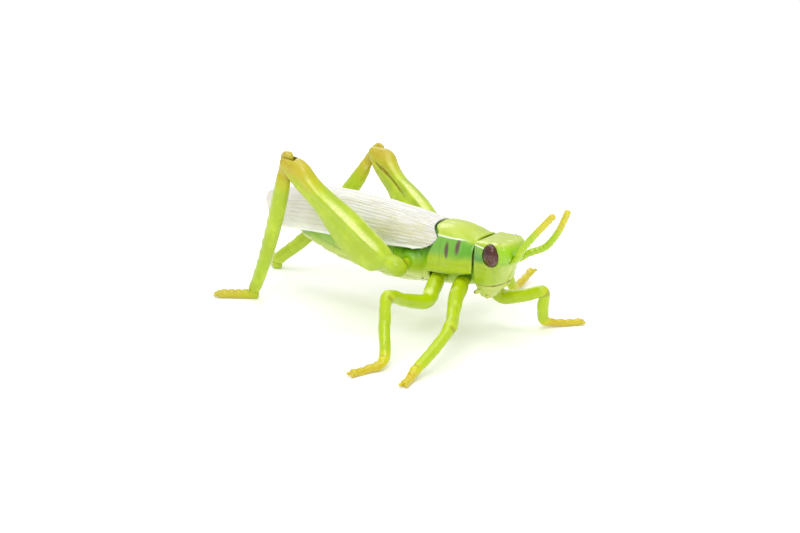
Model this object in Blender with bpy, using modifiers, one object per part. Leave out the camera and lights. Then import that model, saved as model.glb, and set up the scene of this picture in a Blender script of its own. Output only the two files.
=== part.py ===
"""Plug-together moulded-plastic grasshopper, standing on six feet.

All lengths are millimetres in the insect's own frame: X points to the head, Y to
the insect's left, Z up, the ground is Z = 0 and X = 0 lies over the middle legs.
SHIFT_X moves that frame so that the origin is under the centre of the whole
object. The legs of the two sides are posed a little differently.
"""

import math

import bmesh
import bpy
import numpy as np
from mathutils import Vector

for old in list(bpy.data.objects):
    bpy.data.objects.remove(old, do_unlink=True)

MM = 0.001
SHIFT_X = 23.7
ORIGIN = (0, 0, 0)
SIDES = (("right", -1), ("left", 1))  # name, sign of Y

# fits
GAP = 0.3  # between neighbouring shells
RUNNING = 0.2  # added to a peg's radius for its bore
HOLE_PLAY = 0.3  # added to a peg's radius for its hole in the thorax shell

# joints shared by several pieces
NECK_Z, NECK_R = 24.5, 2.2  # round peg along X
WING_AXIS, WING_PEG_R = (-5.0, 27.2), 1.0  # (x, z) of the pegs along Y
HIP_AXIS, HIP_Y, HIP_PEG_R = (-8.8, 19.8), 13.2, 1.7  # (x, z) of the pegs along Y
LEG_PEGS = {"mid": (0.2, 5.5), "front": (8.3, 5.5)}  # (x, |y|) of the pegs along Z
LEG_PEG_R = 1.0

PARTS = bpy.data.collections.new("grasshopper")
CUTTERS = bpy.data.collections.new("cutters")
bpy.context.scene.collection.children.link(PARTS)
bpy.context.scene.collection.children.link(CUTTERS)


# ---------------------------------------------------------------- materials
def material(name, colour, roughness):
    mat = bpy.data.materials.new(name)
    mat.use_nodes = True
    shader = mat.node_tree.nodes["Principled BSDF"]
    shader.inputs["Base Color"].default_value = colour
    shader.inputs["Roughness"].default_value = roughness
    return mat


CREAM_GREEN = (0.55, 0.66, 0.16, 1)
lime = material("lime_plastic", colour=(0.42, 0.62, 0.02, 1), roughness=0.3)
leaf = material("leaf_green_paint", colour=(0.10, 0.36, 0.02, 1), roughness=0.3)
belly = material("cream_green_plastic", colour=CREAM_GREEN, roughness=0.4)
inner = material("inner_plastic", colour=CREAM_GREEN, roughness=0.5)
plum = material("plum_gloss", colour=(0.07, 0.02, 0.03, 1), roughness=0.12)
pearl = material("pearl_clear_plastic", colour=(0.80, 0.78, 0.72, 1), roughness=0.2)


# ---------------------------------------------------------------- curves and sections
def curve_through(stations, values):
    """Smooth (cubic Hermite) interpolation of values over stations."""
    stations, values = np.asarray(stations, float), np.asarray(values, float)
    slopes = np.gradient(values, stations)

    def at(x):
        i = int(np.clip(np.searchsorted(stations, x) - 1, 0, len(stations) - 2))
        span = stations[i + 1] - stations[i]
        part = min(max((x - stations[i]) / span, 0.0), 1.0)
        square, cube = part**2, part**3
        return (
            (2 * cube - 3 * square + 1) * values[i]
            + (cube - 2 * square + part) * slopes[i] * span
            + (3 * square - 2 * cube) * values[i + 1]
            + (cube - square) * slopes[i + 1] * span
        )

    return at


def profile(*rows):
    """Rows of (station, value, value, ...) to one function that gives all values."""
    stations, *columns = zip(*rows)
    curves = [curve_through(stations, column) for column in columns]
    return lambda x: [curve(x) for curve in curves]


def smooth_path(points, count):
    """Catmull-Rom centreline through points, in equal steps of the control index."""
    points = np.asarray(points, float)
    padded = np.vstack([2 * points[0] - points[1], points, 2 * points[-1] - points[-2]])
    path = []
    for place in np.linspace(0, len(points) - 1 - 1e-9, count):
        i = int(place)
        part = place - i
        before, start, end, after = padded[i : i + 4]
        path.append(0.5 * (
            2 * start
            + (end - before) * part
            + (2 * before - 5 * start + 4 * end - after) * part**2
            + (3 * start - before - 3 * end + after) * part**3
        ))
    return np.array(path)


def signed_power(value, exponent):
    return math.copysign(abs(value) ** exponent, value)


def oval_point(angle, half_y, up, down, power):
    """(y, z) of a superellipse with unlike upper and lower halves; angle from the top."""
    sine, cosine = math.sin(angle), math.cos(angle)
    height = up if cosine > 0 else down
    return signed_power(sine, 2 / power) * half_y, signed_power(cosine, 2 / power) * height


def oval(count, half_y, up, down, power):
    return [oval_point(2 * math.pi * i / count, half_y, up, down, power) for i in range(count)]


def mirrored(point, sign):
    return (point[0], point[1] * sign, point[2])


# ---------------------------------------------------------------- solids
def add_object(name, mesh, origin, mat):
    obj = bpy.data.objects.new(name, mesh)
    obj.location = Vector((origin[0] + SHIFT_X, origin[1], origin[2])) * MM
    PARTS.objects.link(obj)
    if mat:
        mesh.materials.append(mat)
    mesh.shade_smooth()
    mesh.set_sharp_from_angle(angle=math.radians(38))
    return obj


def add_bmesh(name, bm, origin, mat):
    """An object in metres about origin, from bmesh points in millimetres."""
    for vert in bm.verts:
        vert.co = (vert.co - Vector(origin)) * MM
    mesh = bpy.data.meshes.new(name)
    bm.to_mesh(mesh)
    bm.free()
    return add_object(name, mesh, origin, mat)


def loft(name, rings, origin=ORIGIN, mat=None):
    """A closed solid through rings of equally many points, flat at both ends."""
    bm = bmesh.new()
    rows = [[bm.verts.new(point) for point in ring] for ring in rings]
    for row, after in zip(rows, rows[1:]):
        for i in range(len(row)):
            j = (i + 1) % len(row)
            bm.faces.new((row[i], row[j], after[j], after[i]))
    bm.faces.new(rows[0])
    bm.faces.new(rows[-1])
    bmesh.ops.recalc_face_normals(bm, faces=bm.faces)
    return add_bmesh(name, bm, origin, mat)


def sheet(name, grid, mat, wall, outward, origin=ORIGIN, end_cap=False):
    """An open surface thickened inwards; outward(point) points away from the inside."""
    bm = bmesh.new()
    rows = [[bm.verts.new(point) for point in row] for row in grid]
    for row, after in zip(rows, rows[1:]):
        for i in range(len(row) - 1):
            bm.faces.new((row[i], row[i + 1], after[i + 1], after[i]))
    if end_cap:
        bm.faces.new(rows[-1])
        bmesh.ops.recalc_face_normals(bm, faces=bm.faces)
    bm.normal_update()
    facing = sum(
        face.normal.dot(Vector(outward(face.calc_center_median()))) * face.calc_area()
        for face in bm.faces
    )
    if facing < 0:
        bmesh.ops.reverse_faces(bm, faces=bm.faces)
    obj = add_bmesh(name, bm, origin, mat)
    solidify = obj.modifiers.new("wall", "SOLIDIFY")
    solidify.thickness = wall * MM
    solidify.offset = -1
    solidify.use_even_offset = False
    return obj


def away_from(height):
    """Directions away from the line Y = 0 at this height."""
    return lambda point: (0, point[1], point[2] - height)


def cylinder(name, start, end, radius, sides, origin=ORIGIN, mat=None, end_radius=None):
    start, end = Vector(start), Vector(end)
    bm = bmesh.new()
    bmesh.ops.create_cone(
        bm, cap_ends=True, segments=sides, radius1=radius,
        radius2=end_radius or radius, depth=(end - start).length,
    )
    turn = (end - start).to_track_quat("Z", "Y")
    for vert in bm.verts:
        vert.co = turn @ vert.co + (start + end) / 2
    return add_bmesh(name, bm, origin, mat)


def rod(name, axis, centre, span, radius, sides, **options):
    """A cylinder along X, Y or Z; centre gives the other two coordinates in order."""
    ends = []
    for place in span:
        end = list(centre)
        end.insert("XYZ".index(axis), place)
        ends.append(end)
    return cylinder(name, *ends, radius, sides, **options)


def box(name, x_span, y_span, z_span, mat=None):
    low, high = (Vector(corner) for corner in zip(x_span, y_span, z_span))
    bm = bmesh.new()
    bmesh.ops.create_cube(bm, size=1)
    for vert in bm.verts:
        vert.co = Vector([c * size for c, size in zip(vert.co, high - low)]) + (low + high) / 2
    return add_bmesh(name, bm, ORIGIN, mat)


def ellipsoid(name, centre, radii, origin, sides, mat=None):
    bm = bmesh.new()
    bmesh.ops.create_uvsphere(bm, u_segments=sides[0], v_segments=sides[1], radius=1)
    for vert in bm.verts:
        vert.co = Vector([c * radius for c, radius in zip(vert.co, radii)]) + Vector(centre)
    return add_bmesh(name, bm, origin, mat)


def tube(name, points, radii, origin, mat=None):
    """A closed mesh with a round section of changing radius along points."""
    curve = bpy.data.curves.new(name, "CURVE")
    curve.dimensions = "3D"
    curve.bevel_depth = MM
    curve.bevel_resolution = 2
    curve.use_fill_caps = True
    spline = curve.splines.new("POLY")
    spline.points.add(len(points) - 1)
    for point, position, radius in zip(spline.points, points, radii):
        point.co = (*((Vector(position) - Vector(origin)) * MM), 1)
        point.radius = radius
    draft = bpy.data.objects.new(name + "_curve", curve)
    bpy.context.scene.collection.objects.link(draft)
    bpy.context.view_layer.update()
    graph = bpy.context.evaluated_depsgraph_get()
    mesh = bpy.data.meshes.new_from_object(draft.evaluated_get(graph))
    bpy.data.objects.remove(draft)

    # the end caps come unjoined
    bm = bmesh.new()
    bm.from_mesh(mesh)
    bmesh.ops.remove_doubles(bm, verts=bm.verts, dist=1e-6)
    bmesh.ops.recalc_face_normals(bm, faces=bm.faces)
    bm.to_mesh(mesh)
    bm.free()
    mesh.materials.clear()
    return add_object(name, mesh, origin, mat)


# ---------------------------------------------------------------- booleans
def combine(obj, helper, operation, name=None):
    """Apply helper to obj as a boolean and put it away with the cutters."""
    helper.hide_render = True
    helper.display_type = "WIRE"
    for collection in list(helper.users_collection):
        collection.objects.unlink(helper)
    CUTTERS.objects.link(helper)
    boolean = obj.modifiers.new(name or helper.name, "BOOLEAN")
    boolean.operation = operation
    boolean.solver = "EXACT"
    boolean.object = helper


def cut(obj, helper):
    combine(obj, helper, "DIFFERENCE")


def weld_on(obj, helper):
    combine(obj, helper, "UNION")


ground = box("ground", (-120, 80), (-80, 80), (-20, 0))


def flatten_sole(obj):
    combine(obj, ground, "DIFFERENCE", "sole")


# ---------------------------------------------------------------- body surface
THORAX_REAR, THORAX_FRONT, THORAX_WALL = -15.0, 0.5, 0.9
ABDOMEN_FRONT, ABDOMEN_REAR, ABDOMEN_WALL = THORAX_REAR - GAP, -54.0, 0.9
STERNUM_FRONT = -0.9
BODY_AXIS_Z = 21
SEAM_Z = 15.0  # seam between upper and lower shells along the thorax
ABDOMEN_SEAM_RISE = 2.2  # height of the abdomen's seam above its underside
BODY_POWER = 2.2

# station x, half width, widest height, top, bottom
body_at = profile(
    (-54.5, 1.6, 21.2, 23.0, 20.2),
    (-52.0, 3.2, 20.6, 24.8, 18.9),
    (-45.0, 5.4, 20.0, 27.6, 16.4),
    (-36.0, 6.4, 19.0, 29.8, 14.0),
    (-26.0, 6.7, 18.3, 31.0, 12.8),
    (-15.0, 6.7, 17.6, 31.2, 12.0),
    (-8.0, 6.7, 17.6, 31.0, 12.9),
    (-3.0, 6.8, 17.6, 30.2, 13.6),
    (1.0, 6.6, 17.6, 29.2, 13.9),
)


def body_point(x, angle):
    half, wide, top, low = body_at(x)
    y, z = oval_point(angle, half, top - wide, wide - low, BODY_POWER)
    return (x, y, wide + z)


def angle_at(x, height):
    """The angle from the top at which the body's side passes this height."""
    _, wide, top, low = body_at(x)
    share = (height - wide) / ((top - wide) if height > wide else (wide - low))
    share = max(-1.0, min(1.0, share))
    return math.acos(signed_power(share, BODY_POWER / 2))


def seam_height(x):
    return SEAM_Z if x > -16 else body_at(x)[3] + ABDOMEN_SEAM_RISE


def body_rows(rear_or_front, other_end, stations, count, below=False):
    """Rows of points around the body, above the seam or below it."""
    rows = []
    for x in np.linspace(rear_or_front, other_end, stations):
        if below:
            middle = math.pi
            limit = math.pi - angle_at(x, seam_height(x) - GAP / 2)
        else:
            middle = 0.0
            limit = angle_at(x, seam_height(x) + GAP / 2)
        rows.append([
            body_point(x, middle + limit * (2 * i / count - 1)) for i in range(count + 1)
        ])
    return rows


# ---------------------------------------------------------------- abdomen
def build_abdomen():
    """Upper shell with a closed tail, and the solid belly strip below the seam."""
    sheet(
        "abdomen_upper_shell", body_rows(ABDOMEN_FRONT, ABDOMEN_REAR, 9, 16),
        leaf, ABDOMEN_WALL, end_cap=True,
        outward=lambda point: (-0.5 if point[0] < -50 else 0, point[1], point[2] - BODY_AXIS_Z),
    )
    rows = body_rows(ABDOMEN_FRONT, ABDOMEN_REAR + GAP, 10, 12, below=True)
    loft("abdomen_belly_plate", rows, mat=belly)


# ---------------------------------------------------------------- thorax shell
LEG_BAY = ((-2.3, 4), (-9, 9), (10, 23.1))  # spans in x, y and z
HIP_BOSS_Y, HIP_BOSS_R, HIP_BOSS_END_R = (6.0, 10.3), 4.0, 3.2
RELIEF_Z, RELIEF_R = (10, 19.0), 3.5


def build_thorax_upper():
    shell = sheet(
        "thorax_upper_shell", body_rows(THORAX_REAR, THORAX_FRONT, 6, 18),
        leaf, THORAX_WALL, away_from(BODY_AXIS_Z),
    )
    for side, sign in SIDES:
        span = (1.0 * sign, 9.5 * sign)
        cut(shell, rod(f"wing_hole_{side}", "Y", WING_AXIS, span, WING_PEG_R + HOLE_PLAY, 24))
    cut(shell, box("leg_bay", *LEG_BAY))
    for side, sign in SIDES:
        # raised boss that carries the thigh clear of the wing
        span = [y * sign for y in HIP_BOSS_Y]
        weld_on(shell, rod(
            f"hip_boss_{side}", "Y", HIP_AXIS, span, HIP_BOSS_R, 24, end_radius=HIP_BOSS_END_R,
        ))
    mid_x, mid_y = LEG_PEGS["mid"]
    for side, sign in SIDES:
        span = (4.0 * sign, 12.5 * sign)
        cut(shell, rod(f"hip_hole_{side}", "Y", HIP_AXIS, span, HIP_PEG_R + HOLE_PLAY, 20))
        centre = (mid_x, mid_y * sign)
        cut(shell, rod(f"mid_leg_relief_{side}", "Z", centre, RELIEF_Z, RELIEF_R, 24))


# ---------------------------------------------------------------- sternum
FLANGE_LOW, FLANGE_TOP, FLANGE_HALF_WIDTH = 19.5, 21.4, 6.95
LEG_SOCKET_R = 2.6
# half section of the keel: (y, height above its underside), then (y, z) of the flange
KEEL_SIDE = ((0, 0.0), (2.2, 0.1), (3.6, 1.2), (4.3, 3.2))
KEEL_FLANGE = (
    (4.6, FLANGE_LOW),
    (FLANGE_HALF_WIDTH, FLANGE_LOW + 0.1),
    (FLANGE_HALF_WIDTH, FLANGE_TOP),
)
# station x, underside height
keel_low_at = profile((-2.0, 13.7), (3.0, 14.2), (11.2, 15.6))


def keel_ring(x):
    low = keel_low_at(x)[0]
    narrow = 1.0 - 0.14 * max(0.0, x - 5.0) / 6.0
    half = [(y * narrow, low + rise) for y, rise in KEEL_SIDE]
    half += [(y * narrow, z) for y, z in KEEL_FLANGE]
    return [(x, y, z) for y, z in half] + [(x, -y, z) for y, z in reversed(half[1:])]


def build_sternum():
    """Thorax belly strip with the keel that takes the four walking legs."""
    rows = body_rows(THORAX_REAR, STERNUM_FRONT, 5, 12, below=True)
    sternum = loft("sternum_plate", rows, mat=belly)
    weld_on(sternum, loft("keel", [keel_ring(x) for x in (-1.6, 3.0, 7.0, 10.8)]))
    for side, sign in SIDES:
        for pair, (peg_x, peg_y) in LEG_PEGS.items():
            centre = (peg_x, peg_y * sign)
            span = (10, FLANGE_LOW)
            cut(sternum, rod(f"{pair}_socket_{side}", "Z", centre, span, LEG_SOCKET_R, 20))
            radius = LEG_PEG_R + RUNNING
            cut(sternum, rod(f"{pair}_bore_{side}", "Z", centre, (15, 25), radius, 16))


# ---------------------------------------------------------------- inner frame and neck
FRAME_REAR, FRAME_FRONT, FRAME_HALF_WIDTH, FRAME_TOP = -14.2, 10.4, 4.2, 28.2
# name, span in x, half width, span in z
FRAME_BLOCKS = (
    ("hip_block", (FRAME_REAR, -6.8), FRAME_HALF_WIDTH, (15.4, 22.5)),
    ("wing_block", (-8.0, -2.2), 2.3, (24.0, FRAME_TOP)),
    ("neck_block", (1.0, FRAME_FRONT), FRAME_HALF_WIDTH, (24.0, FRAME_TOP)),
)
# name, axis, centre, span, peg radius, sides
FRAME_BORES = (
    ("hip_bore", "Y", HIP_AXIS, (-6, 6), HIP_PEG_R, 24),
    ("wing_bore", "Y", WING_AXIS, (-6, 6), WING_PEG_R, 16),
    ("neck_bore", "X", (0, NECK_Z), (4.0, 12), NECK_R, 24),
)
NECK_PEG_X = (4.3, 17.4)
COLLAR_X, COLLAR_R = (10.8, 12.2), 2.8


def build_frame():
    """Inner frame: takes the hip pegs, the wing pegs and the neck peg."""
    frame = box(
        "thorax_frame", (FRAME_REAR, FRAME_FRONT), (-FRAME_HALF_WIDTH, FRAME_HALF_WIDTH),
        (FLANGE_TOP + GAP, 25.0), inner,
    )
    for name, x_span, half, z_span in FRAME_BLOCKS:
        weld_on(frame, box(name, x_span, (-half, half), z_span))
    for name, axis, centre, span, radius, sides in FRAME_BORES:
        cut(frame, rod(name, axis, centre, span, radius + RUNNING, sides))


def build_neck_peg():
    peg = rod("neck_peg", "X", (0, NECK_Z), NECK_PEG_X, NECK_R, 24, mat=inner)
    weld_on(peg, rod("neck_collar", "X", (0, NECK_Z), COLLAR_X, COLLAR_R, 24))


# ---------------------------------------------------------------- pronotum
PRONOTUM_FRONT, PRONOTUM_WALL = 12.6, 1.0
SADDLE_POWER = 3.6
SADDLE_DROP = 9.0  # depth scale of the sides below the widest height
# station x, half width, widest height, top, side bottom
saddle_at = profile(
    (-2.0, 8.2, 20.0, 31.1, 18.7),
    (2.0, 8.5, 20.3, 31.6, 19.0),
    (5.0, 8.5, 20.6, 31.4, 19.2),
    (8.5, 8.3, 21.0, 30.4, 19.5),
    (12.6, 7.7, 21.6, 29.9, 20.6),
)
# share of the way from the ridge to the lower edge, x of the rear margin
saddle_rear_at = profile(
    (0.0, -2.0), (0.2, -1.5), (0.42, 0.7), (0.52, 0.9), (0.7, -0.6), (0.85, -1.9), (1.0, -2.0)
)


def saddle_point(x, share):
    """share -1 to 1 runs over the back from one lower edge to the other."""
    half, wide, top, low = saddle_at(x)
    limit = math.pi / 2 + math.asin(min(1.0, (wide - low) / SADDLE_DROP))
    sine, cosine = math.sin(limit * share), math.cos(limit * share)
    y = signed_power(sine, 2 / SADDLE_POWER) * half
    if cosine > 0:
        z = wide + cosine ** (2 / SADDLE_POWER) * (top - wide)
    else:
        z = wide + cosine * SADDLE_DROP
    return (x, y, z)


def build_pronotum(along=6, around=24):
    """Saddle over the front of the thorax."""
    grid = []
    for i in range(along + 1):
        row = []
        for j in range(around + 1):
            share = 2 * j / around - 1
            rear = saddle_rear_at(abs(share))[0]
            row.append(saddle_point(rear + (PRONOTUM_FRONT - rear) * i / along, share))
        grid.append(row)
    sheet("pronotum_shell", grid, lime, PRONOTUM_WALL, away_from(BODY_AXIS_Z))


# ---------------------------------------------------------------- head
HEAD_BACK, HEAD_WALL = 13.4, 1.3
MOUTH_Z = 17.2  # split between capsule and jaw
HEAD_AXIS = (HEAD_BACK, 0, NECK_Z)
CAVITY_BACK = 12.0
CAP_X, CAP_PLAY, CAP_WIDTH_SHARE = (13.6, 15.0), 0.45, 0.985
CAPSULE_LEVELS = (MOUTH_Z + GAP / 2, 19.5, 22.0, 24.5, 26.5, 28.2, 29.5, 30.3, 30.8)
CAVITY_LEVELS = (MOUTH_Z + 2.0, 22.0, 26.0, 28.8)
CAP_LEVELS = (MOUTH_Z + 2.3, 23.0, 26.0, 28.3)
JAW_LEVELS = (11.3, 12.0, 13.2, 15.0, MOUTH_Z - GAP / 2)
EYE, EYE_RADII, EYE_PLAY = (18.4, 6.1, 27.1), (2.65, 1.95, 3.5), 0.22
# height, back x, front x, half width
head_at = profile(
    (11.3, 12.5, 14.0, 1.0),
    (12.3, 12.3, 15.8, 2.6),
    (14.0, 12.7, 17.6, 4.0),
    (16.0, 13.2, 19.4, 5.2),
    (18.0, 13.4, 20.7, 6.1),
    (20.5, 13.4, 21.9, 6.6),
    (23.0, 13.4, 22.9, 6.9),
    (25.0, 13.4, 23.7, 7.0),
    (27.0, 13.4, 24.7, 6.9),
    (28.6, 13.4, 25.1, 6.4),
    (30.0, 13.5, 24.5, 4.9),
    (30.8, 14.6, 23.0, 2.6),
)
# antenna, on the left: base, direction of its peg, free points beyond the peg
ANTENNA_BASE, ANTENNA_AXIS = (23.6, 2.3, 25.2), (0.72, 0.42, 0.55)
ANTENNA_FREE = ((28.2, 4.8, 28.9), (31.8, 5.2, 33.8), (36.0, 5.0, 40.0))
ANTENNA_PEG_R, ANTENNA_PLAY, ANTENNA_POINTS = 0.75, 0.45, 16


def head_ring(z, inset=0.0, back=None, count=24):
    """Horizontal section: square across the back, round in front."""
    rear, front, half = head_at(z)
    if back is not None:
        rear = back
    elif z > 17.5:
        rear = max(rear, HEAD_BACK)
    front, half = front - inset, half - inset
    middle = rear + (front - rear) * 0.42
    ring = []
    for i in range(count):
        angle = 2 * math.pi * (i + 0.5) / count
        sine, cosine = math.sin(angle), math.cos(angle)
        power, reach = (2.1, front - middle) if cosine > 0 else (5.0, middle - rear)
        x = middle + signed_power(cosine, 2 / power) * reach
        ring.append((x, signed_power(sine, 2 / power) * half, z))
    return ring


def cavity_ring(z, inset):
    return head_ring(z, inset, CAVITY_BACK, 20)


def cap_ring(x):
    """Upright section of the back cap, a little narrower than the cavity."""
    edge = []
    for z in CAP_LEVELS:
        widest = max(abs(point[1]) for point in cavity_ring(z, HEAD_WALL + CAP_PLAY))
        edge.append((widest * CAP_WIDTH_SHARE, z))
    return [(x, y, z) for y, z in edge] + [(x, -y, z) for y, z in reversed(edge)]


def build_jaw():
    loft("lower_jaw", [head_ring(z) for z in JAW_LEVELS], HEAD_AXIS, belly)


def build_back_cap():
    cap = loft("head_back_cap", [cap_ring(x) for x in CAP_X], HEAD_AXIS, inner)
    cut(cap, rod(
        "neck_hole", "X", (0, NECK_Z), (12, 18), NECK_R + RUNNING, 24, origin=HEAD_AXIS,
    ))


def add_eye(capsule, side, sign):
    centre = mirrored(EYE, sign)
    ellipsoid(f"eye_{side}", centre, EYE_RADII, HEAD_AXIS, (16, 8), plum)
    radii = [radius + EYE_PLAY for radius in EYE_RADII]
    cut(capsule, ellipsoid(f"eye_socket_{side}", centre, radii, HEAD_AXIS, (20, 10)))


def add_antenna(capsule, side, sign):
    base = Vector(mirrored(ANTENNA_BASE, sign))
    axis = Vector(mirrored(ANTENNA_AXIS, sign)).normalized()
    controls = [base + axis * distance for distance in (-1.6, 0.6, 2.2)]
    controls += [Vector(mirrored(point, sign)) for point in ANTENNA_FREE]
    radii = [
        ANTENNA_PEG_R if i < 3 else 1.05 - 0.15 * i / ANTENNA_POINTS
        for i in range(ANTENNA_POINTS)
    ]
    tube(f"antenna_{side}", smooth_path(controls, ANTENNA_POINTS), radii, base, lime)
    cut(capsule, cylinder(
        f"antenna_hole_{side}", base - axis * 2.4, base + axis * 4,
        ANTENNA_PEG_R + ANTENNA_PLAY, 16, HEAD_AXIS,
    ))


def build_head():
    capsule = loft("head_capsule", [head_ring(z) for z in CAPSULE_LEVELS], HEAD_AXIS, lime)
    cavity = [cavity_ring(z, HEAD_WALL) for z in CAVITY_LEVELS]
    cut(capsule, loft("head_cavity", cavity, HEAD_AXIS))
    build_jaw()
    build_back_cap()
    for side, sign in SIDES:
        add_eye(capsule, side, sign)
        add_antenna(capsule, side, sign)


# ---------------------------------------------------------------- wings
WING_SHEET = 0.8
WING_INNER_Y = 0.25  # distance of the ridge edge from Y = 0
WING_POWER = 2.2
# station x, ridge height, lower edge height, half width
wing_at = profile(
    (-67.0, 29.4, 20.4, 3.4),
    (-60.0, 31.2, 20.6, 5.0),
    (-52.0, 33.0, 21.4, 6.2),
    (-45.0, 34.0, 22.1, 7.0),
    (-32.0, 34.5, 22.8, 7.6),
    (-18.0, 33.7, 23.3, 7.7),
    (-6.0, 33.0, 24.2, 7.7),
    (1.0, 32.5, 24.6, 7.6),
)
# share of the way from the ridge to the lower edge, x of the margin
wing_front_at = profile(
    (0.0, -3.3), (0.2, -3.0), (0.35, -2.4), (0.5, -1.3), (0.6, -0.5),
    (0.72, -1.8), (0.85, -4.4), (0.95, -7.8), (1.0, -10.5),
)
wing_tip_at = profile((0.0, -65.0), (0.3, -65.8), (0.6, -65.2), (0.85, -62.0), (1.0, -56.5))


def wing_grid(sign, along=12, around=10):
    grid = []
    for j in range(around + 1):
        share = j / around
        front, tip = wing_front_at(share)[0], wing_tip_at(share)[0]
        angle = share * math.pi / 2
        row = []
        for i in range(along + 1):
            x = front + (tip - front) * (i / along)
            ridge, low, half = wing_at(x)
            y, z = oval_point(angle, half - WING_INNER_Y, ridge - low, 0, WING_POWER)
            row.append((x, (WING_INNER_Y + y) * sign, low + z))
        grid.append(row)
    return grid


def build_wing(side, sign):
    origin = (WING_AXIS[0], 0, WING_AXIS[1])
    wing = sheet(
        f"forewing_{side}", wing_grid(sign), pearl, WING_SHEET, away_from(24), origin=origin,
    )
    span = (0.6 * sign, 6.7 * sign)
    weld_on(wing, rod(f"wing_peg_{side}", "Y", WING_AXIS, span, WING_PEG_R, 16, origin=origin))


# ---------------------------------------------------------------- hind legs
# the knee point gives the femur's direction, FEMUR_LENGTH its length
KNEE = {"right": (-44.0, -18.4, 45.8), "left": (-46.3, 26.2, 38.4)}
ANKLE = {"right": (-61.1, -13.7, 2.2), "left": (-74.2, 12.2, 2.2)}
TOE = {"right": (-70.6, -20.1), "left": (-83.2, 19.3)}  # (x, y)
FEMUR_LENGTH = 44.2
FORK_SLOT, TONGUE = 2.6, 2.0  # thicknesses
KNEE_PIN_R, KNEE_PIN_HALF = 0.8, 1.9
PIN_BORE_PLAY, PIN_BORE_END_PLAY = 0.22, 0.2
FOOT_START_Z, TOE_Z = 1.02, 0.95
FOOT_RADII = (1.3, 1.34, 1.32, 1.3, 1.3, 1.28, 1.26, 1.24, 1.2, 1.05)

# along the femur from the hip: dorsal height, ventral depth, half thickness
femur_at = profile(
    (-3.0, 0.9, 0.9, 0.9),
    (-2.0, 1.6, 2.2, 1.7),
    (1.5, 1.6, 5.6, 2.3),
    (6.0, 2.0, 7.6, 2.7),
    (12.0, 2.3, 8.4, 3.1),
    (18.5, 2.7, 8.3, 3.2),
    (24.0, 2.6, 6.8, 3.0),
    (30.0, 2.1, 5.0, 2.7),
    (35.0, 2.5, 4.4, 2.6),
    (38.5, 3.3, 4.1, 2.7),
    (42.6, 2.6, 3.0, 2.7),
    (44.8, 2.0, 2.2, 2.4),
    (46.4, 0.8, 1.0, 1.7),
)
FEMUR_STATIONS = (
    -3.0, -2.2, -0.5, 2, 6, 10, 14, 18.5, 23, 27, 31, 35, 38, 40.5, 42.6, 44.6, 46.2
)
# outline of the slot in the fork: (along the femur, dorsal height)
SLOT_OUTLINE = (
    (36.2, -6), (36.2, -1.0), (40.4, 0.9), (42.0, 2.6), (42.8, 6.0), (50, 6), (50, -6)
)
# down the tibia from the knee: centreline offset to the rear, half width, half thickness
tibia_at = profile(
    (5.6, -0.5, 1.9, 1.6),
    (10.0, -1.3, 2.0, 1.8),
    (18.0, -2.0, 2.15, 1.9),
    (30.0, -1.9, 1.9, 1.75),
    (40.0, -0.9, 1.7, 1.6),
    (46.8, 0.0, 1.6, 1.5),
)
TIBIA_STATIONS = (6.6, 10, 15, 21, 28, 35, 41)
# tongue at the knee end: (along the tibia, half width)
TONGUE_RINGS = ((-1.9, 0.7), (-1.5, 1.3), (-0.8, 1.75), (0.4, 1.9), (2.6, 1.75), (4.6, 1.75))
# ankle end: (distance past the ankle, offset, half width, half thickness)
ANKLE_RINGS = ((-1.2, 0, 1.6, 1.5), (-0.1, -0.1, 1.5, 1.4), (0.7, -0.1, 1.0, 0.9))


def frame_of(origin, along, across):
    """Map from a bone's frame: x along it, y out of the leg's plane, z square to both."""
    x = Vector(along).normalized()
    y = Vector(across)
    y = (y - x * y.dot(x)).normalized()
    z = x.cross(y)
    return lambda point: Vector(origin) + x * point[0] + y * point[1] + z * point[2]


def build_femur(side, sign, hip, knee, across):
    to_femur = frame_of(hip, knee - hip, across)
    up = 1 if (to_femur((0, 0, 1)) - hip).z > 0 else -1

    def femur_ring(station):
        dorsal, ventral, thick = femur_at(station)
        section = oval(16, thick, dorsal, ventral, 2.2)
        return [to_femur((station, y, z * up)) for y, z in section]

    femur = loft(f"hind_femur_{side}", [femur_ring(x) for x in FEMUR_STATIONS], hip, lime)
    # moulded hip peg, square to the body's side
    span = (1.0 * sign, (HIP_Y - 0.5) * sign)
    weld_on(femur, rod(f"hip_peg_{side}", "Y", HIP_AXIS, span, HIP_PEG_R, 20, origin=hip))
    # the fork takes the tongue of the tibia
    half_slot = across * (FORK_SLOT / 2)
    slot = [to_femur((x, 0, z * up)) for x, z in SLOT_OUTLINE]
    rings = [[point - half_slot for point in slot], [point + half_slot for point in slot]]
    cut(femur, loft(f"fork_slot_{side}", rings, hip))
    return femur


def build_tibia(side, knee, ankle, across):
    """Shank with its foot; in its frame z points to the rear once multiplied by back."""
    to_shank = frame_of(knee, ankle - knee, across)
    back = 1 if (to_shank((0, 0, 1)) - knee).x < 0 else -1
    length = (ankle - knee).length

    def shank_ring(station, offset, wide, thick):
        section = oval(12, thick, wide, wide, 2.0)
        return [to_shank((station, y, (z + offset) * back)) for y, z in section]

    rings = [shank_ring(x, 0, wide, TONGUE / 2) for x, wide in TONGUE_RINGS]
    rings += [shank_ring(x, *tibia_at(x)) for x in TIBIA_STATIONS]
    rings += [shank_ring(length + past, *sizes) for past, *sizes in ANKLE_RINGS]
    tibia = loft(f"hind_tibia_{side}", rings, knee, lime)

    toe = Vector((*TOE[side], TOE_Z))
    forward = toe - ankle
    forward.z = 0
    forward.normalize()
    start = Vector((ankle.x, ankle.y, FOOT_START_Z)) - forward * 0.2
    controls = [start, start + forward * 3.2, start + forward * 7.6, toe]
    path = smooth_path(controls, len(FOOT_RADII))
    weld_on(tibia, tube(f"hind_foot_{side}", path, FOOT_RADII, knee))
    flatten_sole(tibia)
    return tibia


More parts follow.
